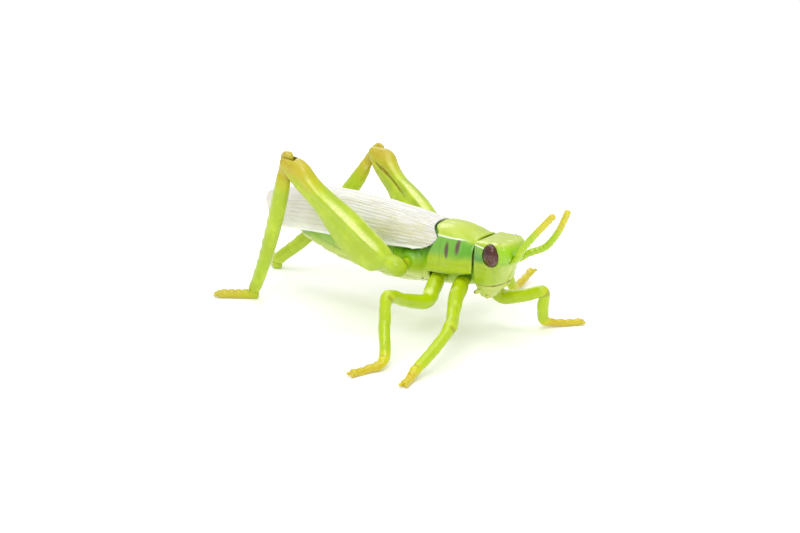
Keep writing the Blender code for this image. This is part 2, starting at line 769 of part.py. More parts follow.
def build_hind_leg(side, sign):
    hip = Vector((HIP_AXIS[0], HIP_Y * sign, HIP_AXIS[1]))
    ankle = Vector(ANKLE[side])
    knee = hip + (Vector(KNEE[side]) - hip).normalized() * FEMUR_LENGTH
    across = (knee - hip).cross(ankle - knee).normalized()
    if across.y * sign < 0:
        across = -across

    def knee_cylinder(name, half_length, radius, sides, origin, mat=None):
        reach = across * half_length
        return cylinder(f"{name}_{side}", knee - reach, knee + reach, radius, sides, origin, mat)

    femur = build_femur(side, sign, hip, knee, across)
    bore_half = KNEE_PIN_HALF + PIN_BORE_END_PLAY
    cut(femur, knee_cylinder("pin_bore", bore_half, KNEE_PIN_R + PIN_BORE_PLAY, 16, hip))
    knee_cylinder("knee_pin", KNEE_PIN_HALF, KNEE_PIN_R, 14, hip, inner)
    tibia = build_tibia(side, knee, ankle, across)
    cut(tibia, knee_cylinder("tibia_bore", 3 * KNEE_PIN_HALF, KNEE_PIN_R + RUNNING, 16, knee))


# ---------------------------------------------------------------- walking legs
LEG_PEG_TOP, LEG_SHOULDER_TOP = 22.8, 18.6
LEG_START_Z = 17.0  # top of the leg's centreline, on the peg axis
LEG_STEPS = 26
# radius at the start and at each of the eight points of a leg
LEG_RADII = (1.9, 2.1, 2.0, 1.75, 1.75, 1.6, 1.5, 1.2, 1.2)
# centreline points from the shoulder down to the toe
WALKING_LEGS = (
    ("mid", "right", (
        (1.0, -9.4, 14.3), (2.0, -14.0, 12.1), (0.7, -22.0, 14.3), (1.2, -30.6, 17.4),
        (2.4, -33.6, 10.8), (5.7, -38.4, 2.6), (3.9, -43.6, 0.95), (2.5, -48.6, 0.95),
    )),
    ("mid", "left", (
        (0.0, 9.4, 14.3), (-1.2, 14.0, 12.1), (-2.4, 21.5, 13.0), (-2.9, 29.6, 15.4),
        (-3.0, 32.6, 9.4), (-3.1, 36.8, 1.7), (-3.5, 42.6, 2.0), (-4.0, 48.6, 3.8),
    )),
    ("front", "right", (
        (9.6, -9.2, 15.2), (11.6, -13.2, 14.6), (14.4, -18.2, 12.6), (17.8, -24.6, 10.5),
        (17.7, -31.0, 6.6), (17.2, -39.4, 2.5), (17.7, -43.0, 0.95), (18.6, -46.4, 0.95),
    )),
    ("front", "left", (
        (9.6, 7.6, 13.0), (12.0, 9.0, 9.4), (18.0, 11.0, 10.3), (23.2, 12.9, 11.7),
        (22.4, 14.2, 6.4), (22.0, 16.0, 2.2), (25.6, 20.4, 0.95), (29.2, 24.6, 0.95),
    )),
)


def build_walking_leg(pair, side, controls):
    """One moulding: round peg, shoulder, bent leg and flat-soled foot."""
    name = f"{pair}_leg_{side}"
    peg_x, peg_y = LEG_PEGS[pair]
    axis = (peg_x, peg_y * dict(SIDES)[side])
    origin = (*axis, LEG_SHOULDER_TOP)
    points = [(*axis, LEG_START_Z), *controls]
    radius_at = curve_through(range(len(LEG_RADII)), LEG_RADII)
    radii = [radius_at(place) for place in np.linspace(0, len(points) - 1, LEG_STEPS)]
    leg = tube(name, smooth_path(points, LEG_STEPS), radii, origin, lime)
    weld_on(leg, rod(
        f"{name}_shoulder", "Z", axis, (15.4, LEG_SHOULDER_TOP), 1.9, 20,
        origin=origin, end_radius=2.0,
    ))
    weld_on(leg, rod(
        f"{name}_peg", "Z", axis, (17.5, LEG_PEG_TOP), LEG_PEG_R, 16, origin=origin,
    ))
    flatten_sole(leg)


# ---------------------------------------------------------------- assembly
build_thorax_upper()
build_abdomen()
build_sternum()
build_frame()
build_neck_peg()
build_pronotum()
build_head()
for side_name, side_sign in SIDES:
    build_wing(side_name, side_sign)
    build_hind_leg(side_name, side_sign)
for leg_pose in WALKING_LEGS:
    build_walking_leg(*leg_pose)
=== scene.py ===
"""Looks of the plug-together toy grasshopper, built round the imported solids.

Lengths are millimetres in the insect's own frame (X to the head, Y to its left, Z up,
ground at Z = 0); SHIFT_X moves them to the row frame and SCALE makes them metres.
"""

import math

import bmesh
import bpy
import numpy as np
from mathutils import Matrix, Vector


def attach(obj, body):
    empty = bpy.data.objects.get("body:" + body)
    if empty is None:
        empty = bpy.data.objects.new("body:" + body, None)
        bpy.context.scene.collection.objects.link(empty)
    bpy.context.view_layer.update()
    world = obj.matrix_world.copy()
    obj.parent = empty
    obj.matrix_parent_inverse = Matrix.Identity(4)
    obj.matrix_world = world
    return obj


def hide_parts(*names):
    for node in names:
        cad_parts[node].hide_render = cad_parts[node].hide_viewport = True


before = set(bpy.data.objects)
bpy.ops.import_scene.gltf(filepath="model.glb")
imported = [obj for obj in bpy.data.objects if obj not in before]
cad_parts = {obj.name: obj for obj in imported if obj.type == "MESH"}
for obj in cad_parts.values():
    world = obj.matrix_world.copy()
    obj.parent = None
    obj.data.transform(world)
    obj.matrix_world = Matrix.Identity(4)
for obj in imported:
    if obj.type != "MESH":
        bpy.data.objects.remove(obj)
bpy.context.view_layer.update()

SHIFT_X, SCALE = 23.7, 0.001
SIDES = ((-1, "right"), (1, "left"))  # sign of Y, name
SHARP_ANGLE = math.radians(45)
RIM_ANGLE = math.radians(50)


# ------------------------------------------------------------------ numbers
def hermite(*rows):
    """Smooth curves through rows of (station, value, ...); gives one array per value."""
    rows = np.array(rows, float)
    stations, values = rows[:, 0], rows[:, 1:]
    slopes = np.gradient(values, stations, axis=0)

    def at(x):
        x = np.asarray(x, float)
        i = np.clip(np.searchsorted(stations, x) - 1, 0, len(stations) - 2)
        gap = (stations[i + 1] - stations[i])[..., None]
        t = np.clip((x - stations[i])[..., None] / gap, 0, 1)
        out = (2 * t**3 - 3 * t**2 + 1) * values[i] + (t**3 - 2 * t**2 + t) * slopes[i] * gap
        out = out + (3 * t**2 - 2 * t**3) * values[i + 1] + (t**3 - t**2) * slopes[i + 1] * gap
        return np.moveaxis(out, -1, 0)

    return at


def ease(zero, one, x):
    t = np.clip((x - zero) / (one - zero), 0, 1)
    return t * t * (3 - 2 * t)


def peak(x, centre, width):
    return np.exp(-(((x - centre) / width) ** 2))


def signed_power(value, power):
    return np.sign(value) * np.abs(value) ** power


def unit(vector):
    vector = np.asarray(vector, float)
    return vector / np.maximum(np.linalg.norm(vector, axis=-1, keepdims=True), 1e-9)


def spread(stations, columns):
    """Repeats a row of stations as the columns of a grid."""
    return np.repeat(stations[:, None], columns, axis=1)


def lumps(points, size, seed):
    """Smooth repeatable unevenness between -1 and 1."""
    rng = np.random.default_rng(seed)
    total = 0
    for _ in range(5):
        way = unit(rng.normal(size=3))
        turns = (points @ way) * (2 * math.pi / (size * rng.uniform(0.7, 1.6)))
        total = total + np.sin(turns + rng.uniform(0, 6.28))
    return total / 5


def normals_of(points, closed=False):
    du = np.gradient(points, axis=0)
    if closed:
        dv = (np.roll(points, -1, 1) - np.roll(points, 1, 1)) / 2
    else:
        dv = np.gradient(points, axis=1)
    normals = unit(np.cross(du, dv))
    if (normals * (points - points.mean(1, keepdims=True))).sum() < 0:
        normals = -normals
    return normals


def pushed(points, amount, closed=False):
    """The grid moved outwards by amount."""
    return points + normals_of(points, closed) * np.asarray(amount)[..., None]


def keep_above(grid, height=0.0):
    grid[..., 2] = np.maximum(grid[..., 2], height)


def smooth_path(points, count):
    points = np.asarray(points, float)
    padded = np.vstack([2 * points[0] - points[1], points, 2 * points[-1] - points[-2]])
    place = np.linspace(0, len(points) - 1 - 1e-9, count)
    i = place.astype(int)
    t = (place - i)[:, None]
    p0, p1, p2, p3 = padded[i], padded[i + 1], padded[i + 2], padded[i + 3]
    square = (2 * p0 - 5 * p1 + 4 * p2 - p3) * t**2
    return 0.5 * (2 * p1 + (p2 - p0) * t + square + (3 * p1 - p0 - 3 * p2 + p3) * t**3)


def run_along(line):
    return np.r_[0, np.cumsum(np.linalg.norm(np.diff(line, axis=0), axis=1))]


def even_path(points, count):
    """A smooth line at even distances, with each point's control index and distance."""
    fine = smooth_path(points, 60 * len(points))
    control = np.linspace(0, len(points) - 1, len(fine))
    run = run_along(fine)
    at = np.linspace(0, run[-1], count)
    line = np.stack([np.interp(at, run, fine[:, k]) for k in range(3)], 1)
    return line, np.interp(at, run, control), at


def tube_grid(line, wide, high=None, around=28, start=(0, 0, 1), power=2.0, rounded=True):
    """Rings round a line, half sizes across (wide) and along the carried 'start' way (high)."""
    high = wide if high is None else high
    tangent = unit(np.gradient(line, axis=0))
    start = np.asarray(start, float)
    up = unit(start - tangent[0] * (tangent[0] @ start))
    ups = []
    for way in tangent:
        up = unit(up - way * (up @ way))
        ups.append(up)
    ups = np.array(ups)
    side = np.cross(tangent, ups)
    turn = np.linspace(0, 2 * math.pi, around, endpoint=False)
    cos, sin = signed_power(np.cos(turn), 2 / power), signed_power(np.sin(turn), 2 / power)
    shrink = np.ones(len(line))
    if rounded:
        run = run_along(line)
        for radius, away in ((wide[0] * 0.9, run), (wide[-1] * 0.9, run[-1] - run)):
            dome = np.sqrt(np.clip(1 - (1 - away / radius) ** 2, 0.0025, 1))
            shrink = shrink * np.where(away < radius, dome, 1)
    upward = (ups * (high * shrink)[:, None])[:, None] * cos[None, :, None]
    return line[:, None] + upward + (side * (wide * shrink)[:, None])[:, None] * sin[None, :, None]


def rod_grid(start, end, radius):
    start, end = np.array(start, float), np.array(end, float)
    line = start + (end - start) * np.linspace(0, 1, 3)[:, None]
    wide = np.full(3, float(radius))
    return tube_grid(line, wide, around=32, start=(0.31, 0.52, 0.8), rounded=False)


def ball_grid(rows, around, margin):
    """Unit directions over a ball, stopping short of the poles by margin radians."""
    u, v = np.meshgrid(
        np.linspace(margin, math.pi - margin, rows),
        np.linspace(0, 2 * math.pi, around, endpoint=False), indexing="ij")
    return np.stack([np.sin(u) * np.cos(v), np.sin(u) * np.sin(v), np.cos(u)], -1)


# ------------------------------------------------------------------ pieces
def linked(name, data):
    obj = bpy.data.objects.new(name, data)
    bpy.context.scene.collection.objects.link(obj)
    return obj


def strip(one, other):
    """Quads between matching rows of point numbers."""
    corners = [one[..., :-1], one[..., 1:], other[..., 1:], other[..., :-1]]
    return np.stack(corners, -1).reshape(-1, 4).tolist()


class Piece:
    """Collects grids of points and makes one mesh object of them.

    Keyword values become point attributes; they are 0 where a grid doesn't give them.
    """

    def __init__(self, name):
        self.name = name
        self.points, self.faces, self.values = [], [], {}
        self.count = 0

    def numbers(self, points):
        shape = points.shape[:-1]
        return self.count + np.arange(math.prod(shape)).reshape(shape)

    def add(self, points, faces, values):
        for key, value in values.items():
            value = np.broadcast_to(value, points.shape[:-1]).reshape(-1)
            self.values.setdefault(key, []).append((self.count, value))
        self.points.append(points.reshape(-1, 3))
        self.faces += faces
        self.count += len(self.points[-1])
        return self

    def grid(self, points, **values):
        """Adds a row of closed rings with a face over each end."""
        index = self.numbers(points)
        ring = np.concatenate([index, index[:, :1]], 1)
        caps = [index[0].tolist(), index[-1].tolist()]
        return self.add(points, strip(ring[:-1], ring[1:]) + caps, values)

    def shell(self, points, wall, **values):
        """Adds an open sheet thickened inwards by wall."""
        both = np.stack([points, pushed(points, -wall)])
        a, b = self.numbers(both)
        faces = strip(a[:-1], a[1:]) + strip(b[:-1], b[1:])
        for outer, inner in ((a[0], b[0]), (a[-1], b[-1]), (a[:, 0], b[:, 0]), (a[:, -1], b[:, -1])):
            faces += strip(outer, inner)
        return self.add(both, faces, values)

    def mesh(self):
        points = np.concatenate(self.points)
        mesh = bpy.data.meshes.new(self.name)
        mesh.from_pydata(((points + [SHIFT_X, 0, 0]) * SCALE).tolist(), [], self.faces)
        for key, chunks in self.values.items():
            full = np.zeros(len(points), np.float32)
            for start, value in chunks:
                full[start : start + len(value)] = value
            mesh.attributes.new(key, "FLOAT", "POINT").data.foreach_set("value", full)
        bm = bmesh.new()
        bm.from_mesh(mesh)
        bmesh.ops.recalc_face_normals(bm, faces=bm.faces)
        bm.to_mesh(mesh)
        bm.free()
        return mesh

    def make(self, material, body, slot, replaces, rim=0.0, cutters=()):
        mesh = self.mesh()
        mesh.materials.append(MATERIALS[material])
        mesh.shade_smooth()
        mesh.set_sharp_from_angle(angle=SHARP_ANGLE)
        obj = linked(self.name, mesh)
        if cutters:
            carve(obj, cutters)
        if rim:
            edge = obj.modifiers.new("rim", "BEVEL")
            edge.width, edge.segments = rim * SCALE, 2
            edge.limit_method, edge.angle_limit = "ANGLE", RIM_ANGLE
        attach(obj, body)
        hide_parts(*replaces)


def carve(obj, cutters):
    """Takes the cutter grids out of obj and keeps the result as its mesh."""
    helpers = []
    for i, grid in enumerate(cutters):
        helper = linked("cutter", Piece("cutter").grid(grid).mesh())
        helpers.append(helper)
        boolean = obj.modifiers.new("cut", "BOOLEAN")
        boolean.operation, boolean.solver, boolean.object = "DIFFERENCE", "EXACT", helper
        boolean.use_self = i == 0
    bpy.context.view_layer.update()
    graph = bpy.context.evaluated_depsgraph_get()
    result = bpy.data.meshes.new_from_object(obj.evaluated_get(graph))
    obj.modifiers.clear()
    material = obj.data.materials[0]
    obj.data = result
    if not result.materials:
        result.materials.append(material)
    for helper in helpers:
        bpy.data.objects.remove(helper)


# ------------------------------------------------------------------ material tools
def rgb(*levels):
    """Linear colour from 0-255 levels."""
    shares = [level / 255 for level in levels]
    return tuple(c / 12.92 if c <= 0.04045 else ((c + 0.055) / 1.055) ** 2.4 for c in shares) + (1.0,)


class Value:
    """A number in a node tree, so that masks read as arithmetic."""

    def __init__(self, tree, socket):
        self.tree, self.socket = tree, socket

    def math(self, operation, *others, swap=False):
        node = self.tree.nodes.new("ShaderNodeMath")
        node.operation = operation
        operands = [self, *others]
        if swap:
            operands.reverse()
        for i, item in enumerate(operands):
            if isinstance(item, Value):
                self.tree.links.new(item.socket, node.inputs[i])
            else:
                node.inputs[i].default_value = item
        return Value(self.tree, node.outputs[0])

    def __add__(self, other):
        return self.math("ADD", other)

    __radd__ = __add__

    def __sub__(self, other):
        return self.math("SUBTRACT", other)

    def __rsub__(self, other):
        return self.math("SUBTRACT", other, swap=True)

    def __mul__(self, other):
        return self.math("MULTIPLY", other)

    def abs(self):
        return self.math("ABSOLUTE")

    def sin(self):
        return self.math("SINE")

    def hypot(self, other):
        return (self * self + other * other).math("SQRT")

    def step(self, zero, one):
        """0 at the first number and beyond, 1 at the second and beyond, smooth between."""
        node = self.tree.nodes.new("ShaderNodeMapRange")
        node.interpolation_type = "SMOOTHSTEP"
        self.tree.links.new(self.socket, node.inputs[0])
        node.inputs[1].default_value, node.inputs[2].default_value = zero, one
        return Value(self.tree, node.outputs[0])

    def within(self, low, high, soft):
        return self.step(low - soft, low + soft) * self.step(high + soft, high - soft)

    def near(self, centre, half, soft):
        return (self - centre).abs().step(half + soft, max(half - soft, 0))


class Look:
    """A plastic painted in layers over a base colour."""

    def __init__(self, name, base):
        self.mat = bpy.data.materials.new(name)
        self.mat.use_nodes = True
        self.tree = self.mat.node_tree
        coords = self.tree.nodes.new("ShaderNodeTexCoord")
        # object metres back to the insect's millimetres
        scale = self.tree.nodes.new("ShaderNodeVectorMath")
        scale.operation = "MULTIPLY_ADD"
        scale.inputs[1].default_value = (1000, 1000, 1000)
        scale.inputs[2].default_value = (-SHIFT_X, 0, 0)
        self.tree.links.new(coords.outputs["Object"], scale.inputs[0])
        self.place = scale.outputs[0]
        node = self.tree.nodes.new("ShaderNodeRGB")
        node.outputs[0].default_value = base
        self.colour = node.outputs[0]
        self.height = None

    def axes(self):
        """X, Y and Z in the insect's frame."""
        split = self.tree.nodes.new("ShaderNodeSeparateXYZ")
        self.tree.links.new(self.place, split.inputs[0])
        return [Value(self.tree, output) for output in split.outputs]

    def noise(self, size, detail=3.0, stretch=(1, 1, 1)):
        """0 to 1, with lumps of about this many millimetres."""
        node = self.tree.nodes.new("ShaderNodeTexNoise")
        node.inputs["Scale"].default_value = 1.0
        node.inputs["Detail"].default_value = detail
        node.inputs["Roughness"].default_value = 0.55
        scale = self.tree.nodes.new("ShaderNodeVectorMath")
        scale.operation = "MULTIPLY"
        scale.inputs[1].default_value = tuple(1 / (size * s) for s in stretch)
        self.tree.links.new(self.place, scale.inputs[0])
        self.tree.links.new(scale.outputs[0], node.inputs["Vector"])
        return Value(self.tree, node.outputs["Fac"])

    def value(self, name):
        node = self.tree.nodes.new("ShaderNodeAttribute")
        node.attribute_name = name
        return Value(self.tree, node.outputs["Fac"])

    def paint(self, colour, mask, strength=None):
        """Lays a colour over what is there where mask is 1."""
        if strength is not None:
            mask = mask * strength
        node = self.tree.nodes.new("ShaderNodeMix")
        node.data_type = "RGBA"
        self.tree.links.new(mask.socket, node.inputs[0])
        self.tree.links.new(self.colour, node.inputs[6])
        node.inputs[7].default_value = colour
        self.colour = node.outputs[2]

    def dent(self, value, amount):
        """Adds value times amount millimetres to the surface height."""
        part = value * amount
        self.height = part if self.height is None else self.height + part

    def finish(self, rough=0.3, coat=0.4, coat_rough=0.12, soft=0.15, alpha=None, specular=0.5):
        self.dent(self.noise(0.35, detail=2.0), amount=0.018)
        self.dent(self.noise(2.5), amount=0.05)
        links, shader = self.tree.links, self.tree.nodes["Principled BSDF"]
        # broad drift in brightness and hue
        shade = self.tree.nodes.new("ShaderNodeHueSaturation")
        links.new(self.colour, shade.inputs["Color"])
        links.new((self.noise(5.0, detail=4.0) * 0.22 + 0.89).socket, shade.inputs["Value"])
        links.new((self.noise(9.0) * 0.02 + 0.49).socket, shade.inputs["Hue"])
        links.new(shade.outputs[0], shader.inputs["Base Color"])
        rough_spread = 0.15
        roughness = self.noise(1.2, detail=4.0) * rough_spread + (rough - rough_spread / 2)
        links.new(roughness.socket, shader.inputs["Roughness"])
        bump = self.tree.nodes.new("ShaderNodeBump")
        bump.inputs["Strength"].default_value = 1.0
        bump.inputs["Distance"].default_value = 0.001
        links.new(self.height.socket, bump.inputs["Height"])
        links.new(bump.outputs[0], shader.inputs["Normal"])
        for key, value in {
            "Coat Weight": coat, "Coat Roughness": coat_rough, "Specular IOR Level": specular,
            "Subsurface Weight": soft, "Subsurface Radius": (1.0, 1.0, 0.3),
            "Subsurface Scale": 1.2 * SCALE,
        }.items():
            shader.inputs[key].default_value = value
        if alpha is not None:
            links.new(alpha.socket, shader.inputs["Alpha"])
        return self.mat


# ------------------------------------------------------------------ materials
LIME, LIME_PALE, LIME_RICH = rgb(172, 198, 20), rgb(198, 212, 84), rgb(180, 205, 0)
LEAF_DARK, LEAF_TEAL = rgb(92, 168, 30), rgb(116, 178, 66)
CREAM, WHITE = rgb(214, 224, 140), rgb(240, 244, 226)
MUSTARD, OCHRE = rgb(196, 178, 46), rgb(204, 180, 30)
BROWN, PLUM = rgb(120, 84, 40), rgb(92, 64, 56)

SADDLE_SEAM_X = 2.2  # upright line on each flank of the pronotum


def stripe_offset(x, z):
    """Height above the pale stripe along each flank of the pronotum."""
    return z - 29.35 + (x - 6) * 0.035


def pronotum_look():
    look = Look("pronotum_plastic", LIME)
    x, y, z = look.axes()
    wave = look.noise(3.0, detail=2.0) * 1.2 - 0.6
    side = y.abs().step(5.2, 6.6)
    # painted highlight: paler top of the saddle
    look.paint(LIME_PALE, (z + wave).step(29.2, 31.2), strength=0.75)  # top
    # green band along the flank, darker to the rear
    low = z + wave - x * 0.06
    band = side * low.step(22.6, 25.6) * z.step(29.6, 29.0)
    look.paint(LEAF_TEAL, band, strength=0.95)
    deep = band * (x * 0.9 - z + wave).step(-24.0, -15.5)
    look.paint(LEAF_DARK, deep, strength=0.85)
    look.paint(rgb(84, 140, 50), band * x.step(0.6, -2.2), strength=0.45)
    # two upright dark ovals: centre X, centre Z, half height
    for oval_x, oval_z, half in ((4.6, 26.0, 2.5), (7.9, 27.3, 2.3)):
        across = (x - oval_x + (z - oval_z) * 0.03) * (1 / 0.72)
        away = across.hypot((z - oval_z) * (1 / half))
        look.paint(rgb(112, 108, 70), side * away.step(1.15, 0.7))
        look.paint(PLUM, side * away.step(0.85, 0.3), strength=0.75)
    # painted shade along the upright groove on each flank
    seam = (x - SADDLE_SEAM_X).near(0, half=0.05, soft=0.13)
    look.paint(rgb(80, 130, 36), side * seam * z.within(21.5, 28.6, soft=0.6), strength=0.3)
    stripe = stripe_offset(x, z).near(0, half=0.2, soft=0.14)
    look.paint(WHITE, side * stripe * x.step(-0.6, 0.3))
    # painted shade: darker strip along the saddle's overhanging lower edge
    shaded_lower_edge = (z + (x - 5) * -0.12).step(19.9, 19.3)
    look.paint(rgb(120, 150, 50), side * shaded_lower_edge, strength=0.6)
    # painted highlights: cream flecks on the wrinkled lower flank
    wrinkle_highlights = (look.noise(1.4, detail=2) - 0.2).step(0.35, 0.6)
    look.paint(CREAM, wrinkle_highlights * side * z.step(23.5, 22.0), strength=0.25)
    return look.finish(rough=0.33, coat=0.3, coat_rough=0.25, specular=0.4)


def thorax_look():
    look = Look("thorax_plastic", CREAM)
    z = look.axes()[2]
    wave = look.noise(3.5) * 2.0 - 1.0
    # greens darkening upwards
    look.paint(LIME, (z + wave).step(15.0, 19.0))
    look.paint(rgb(140, 196, 0), (z + wave).step(18.5, 21.5), strength=0.8)
    look.paint(rgb(92, 158, 6), (z + wave * 0.6).step(20.8, 23.0), strength=0.9)
    look.paint(rgb(96, 158, 62), (z + wave * 0.4).step(23.2, 25.0), strength=0.9)
    threads = (look.noise(0.9) - 0.5).abs().step(0.02, 0.0)
    look.paint(rgb(90, 120, 40), threads, strength=0.25)
    return look.finish(rough=0.36, coat=0.25, coat_rough=0.25, specular=0.35)


def abdomen_look():
    look = Look("abdomen_plastic", rgb(196, 212, 96))
    z = look.axes()[2]
    wave = look.noise(3.0) * 1.6 - 0.8
    look.paint(rgb(150, 196, 66), (z + wave).step(17.0, 22.0))
    look.paint(LEAF_TEAL, (z + wave).step(21.5, 25.0), strength=0.7)
    # painted shade in the creases between the rings and along the side folds
    look.paint(rgb(132, 150, 46), look.value("crease").step(0.15, 0.9), strength=0.35)
    return look.finish(rough=0.33, coat=0.3)


def belly_look():
    look = Look("belly_plastic", CREAM)
    look.paint(rgb(190, 208, 84), look.noise(6.0).step(0.4, 0.65), strength=0.7)
    # painted shade in the creases between the rings
    look.paint(rgb(156, 176, 60), look.value("crease").step(0.15, 0.9), strength=0.6)
    return look.finish(rough=0.36, coat=0.2)


def sternum_look():
    look = Look("sternum_plastic", CREAM)
    x, _, z = look.axes()
    wave = look.noise(2.5) * 1.6 - 0.8
    look.paint(rgb(178, 212, 56), (z + wave).step(14.0, 17.0))
    look.paint(rgb(150, 206, 20), (z + wave).step(16.5, 19.5) * x.step(-3, 0), strength=0.8)
    threads = (look.noise(1.1) - 0.5).abs().step(0.03, 0.0)
    look.paint(rgb(110, 150, 30), threads, strength=0.3)
    return look.finish(rough=0.3, coat=0.4)


def head_look():
    look = Look("head_plastic", rgb(166, 194, 34))
    x, y, z = look.axes()
    wave = look.noise(2.5) * 1.4 - 0.7
    side = y.abs().step(3.4, 5.2)
    # painted highlight: paler crown
    look.paint(LIME_PALE, (z + wave).step(28.6, 30.0), strength=0.6)  # crown
    face = (x + wave * 0.7 - (24 - z) * -0.25).step(19.8, 22.8) * z.step(26.0, 23.5)
    look.paint(rgb(214, 224, 128), face, strength=0.75)
    # green patch and pale stripe behind the eye
    behind = side * x.step(17.6, 15.6) * z.within(24.3, 28.6, soft=0.9)
    look.paint(LEAF_TEAL, behind, strength=0.9)
    look.paint(rgb(84, 150, 70), behind * z.step(27.2, 25.2), strength=0.8)
    stripe = (z - 28.75 + (x - 14) * 0.15).near(0, half=0.17, soft=0.14)
    look.paint(WHITE, side * stripe * x.step(17.6, 16.8))
    brow = ((x - 21.9) * (1 / 3.7)).hypot((z - 26.4) * (1 / 3.3)).step(1.1, 0.6)
    look.paint(rgb(152, 204, 0), brow, strength=0.95)
    # painted light and shade of the grooves: paler edges and darker cores along the face lines, cheek
    # groove and eye socket
    look.paint(rgb(206, 214, 130), look.value("crease").step(0.2, 0.9), strength=0.35)
    look.paint(rgb(122, 130, 40), look.value("crease").step(0.6, 1.0), strength=0.35)
    look.paint(rgb(150, 120, 44), z.near(17.2, half=0.12, soft=0.24), strength=0.8)  # lower edge
    return look.finish(rough=0.3, coat=0.45, coat_rough=0.15, specular=0.45)


def jaw_look():
    look = Look("jaw_plastic", rgb(190, 208, 74))
    z = look.axes()[2]
    look.paint(rgb(206, 208, 118), look.noise(2.0).step(0.42, 0.62), strength=0.6)
    look.paint(rgb(150, 112, 50), look.value("brown").step(0.3, 0.9), strength=0.85)
    look.paint(rgb(150, 120, 44), z.step(16.8, 17.05), strength=0.7)  # top edge
    return look.finish(rough=0.32, coat=0.35)


def eye_look():
    look = Look("eye_gloss", rgb(80, 42, 34))
    x, _, z = look.axes()
    streak = look.noise(0.55, stretch=(0.5, 1, 3.2))
    look.paint(rgb(132, 98, 84), streak.step(0.42, 0.68) * z.step(27.6, 25.0), strength=0.8)
    spot = ((x - 17.2) * 0.7).hypot(z - 27.6).step(1.6, 0.3)
    look.paint(rgb(52, 28, 34), spot, strength=0.7)
    return look.finish(rough=0.2, coat=0.5, coat_rough=0.05, soft=0.0, specular=0.3)


def wing_look():
    look = Look("wing_pearl", rgb(242, 240, 228))
    # u: 0 at the front, 1 at the tip; v: 0 at the ridge, 1 at the lower edge
    u, v = look.value("along"), look.value("across")
    tint = look.noise(4.5, stretch=(2.4, 1, 1)).step(0.44, 0.64)
    tint = tint * v.within(0.34, 0.9, soft=0.12) * u.within(0.04, 0.72, soft=0.08)
    look.paint(rgb(222, 222, 176), tint, strength=0.75)
    fold = v.near(0.7, half=0.06, soft=0.14) * u.within(0.02, 0.34, soft=0.06)
    look.paint(rgb(226, 220, 168), fold, strength=0.5)
    # long dark and light streaks
    streak = look.noise(0.62, detail=2.5, stretch=(16, 1, 1))
    look.paint(rgb(206, 202, 178), streak.step(0.53, 0.7) * v.step(0.02, 0.1), strength=0.62)
    look.paint(rgb(255, 254, 250), streak.step(0.46, 0.32), strength=0.85)
    warp = look.noise(9.0, detail=2.0, stretch=(2.0, 1, 1)) * 0.06
    lines = ((v + warp + u * 0.03) * 88.0).sin()
    look.paint(rgb(196, 192, 168), lines.step(0.72, 1.0) * v.step(0.06, 0.14), strength=0.5)
    # rows of small dots before the tip
    rows = ((v + u * 0.02) * 86.0).sin().step(0.35, 0.9)
    dots = (u * 420.0 + (v * 86.0).sin() * 2.0).sin().step(-0.2, 0.6) * rows
    dots = dots * u.within(0.7, 0.88, soft=0.04) * v.within(0.42, 0.86, soft=0.06)
    look.paint(rgb(172, 164, 120), dots, strength=0.75)
    # paler rear part, lower edge and tip
    look.paint(rgb(250, 246, 236), u.step(0.45, 0.8), strength=0.55)
    look.paint(rgb(252, 250, 244), v.step(0.955, 0.985))
    look.paint(rgb(248, 240, 224), u.step(0.92, 0.99), strength=0.7)
    look.dent(lines * -1.0, amount=0.03)
    look.dent(streak, amount=0.16)
    solid = 0.9 + v.step(0.9, 0.97) * 0.1
    return look.finish(rough=0.32, coat=0.3, coat_rough=0.2, soft=0.25, alpha=solid, specular=0.5)


def hind_look():
    look = Look("hind_leg_plastic", LIME)
    brown = look.value("brown") + (look.noise(2.2) - 0.5) * 0.25
    ridge = look.value("ridge")
    look.paint(rgb(206, 224, 60), look.noise(5.0).step(0.45, 0.7), strength=0.4)
    look.paint(rgb(192, 190, 14), brown.step(0.12, 0.6), strength=0.85)
    look.paint(MUSTARD, brown.step(0.55, 1.0), strength=0.85)
    # painted highlight: pale band along the crest and lower rim ('ridge' values), with paler specks of
    # glint
    look.paint(rgb(232, 238, 140), ridge.step(0.15, 0.85), strength=0.65)
    glint_specks = ridge.step(0.35, 0.95) * look.noise(0.6).step(0.48, 0.62)
    look.paint(rgb(250, 248, 196), glint_specks, strength=0.6)
    # olive: painted shade in the inner groove and in the notch by the hip, and an olive spot by the
    # knee
    look.paint(rgb(160, 140, 10), look.value("olive").step(0.2, 0.9), strength=0.75)
    mottle = brown.step(0.9, 1.2) * look.noise(0.8).step(0.48, 0.66)
    look.paint(rgb(170, 128, 40), mottle, strength=0.35)
    # painted gap shadow under the thigh's root by the hip, and dark stripes on the head of the shank
    look.paint(rgb(132, 96, 30), look.value("fleck").step(0.4, 0.9), strength=0.8)
    # cut faces, where "outer" is missing
    look.paint(rgb(160, 138, 34), look.value("outer").step(0.6, 0.3))
    look.dent(look.noise(0.5, detail=2.0) * ridge, amount=0.22)
    return look.finish(rough=0.34, coat=0.3, coat_rough=0.22, specular=0.4)


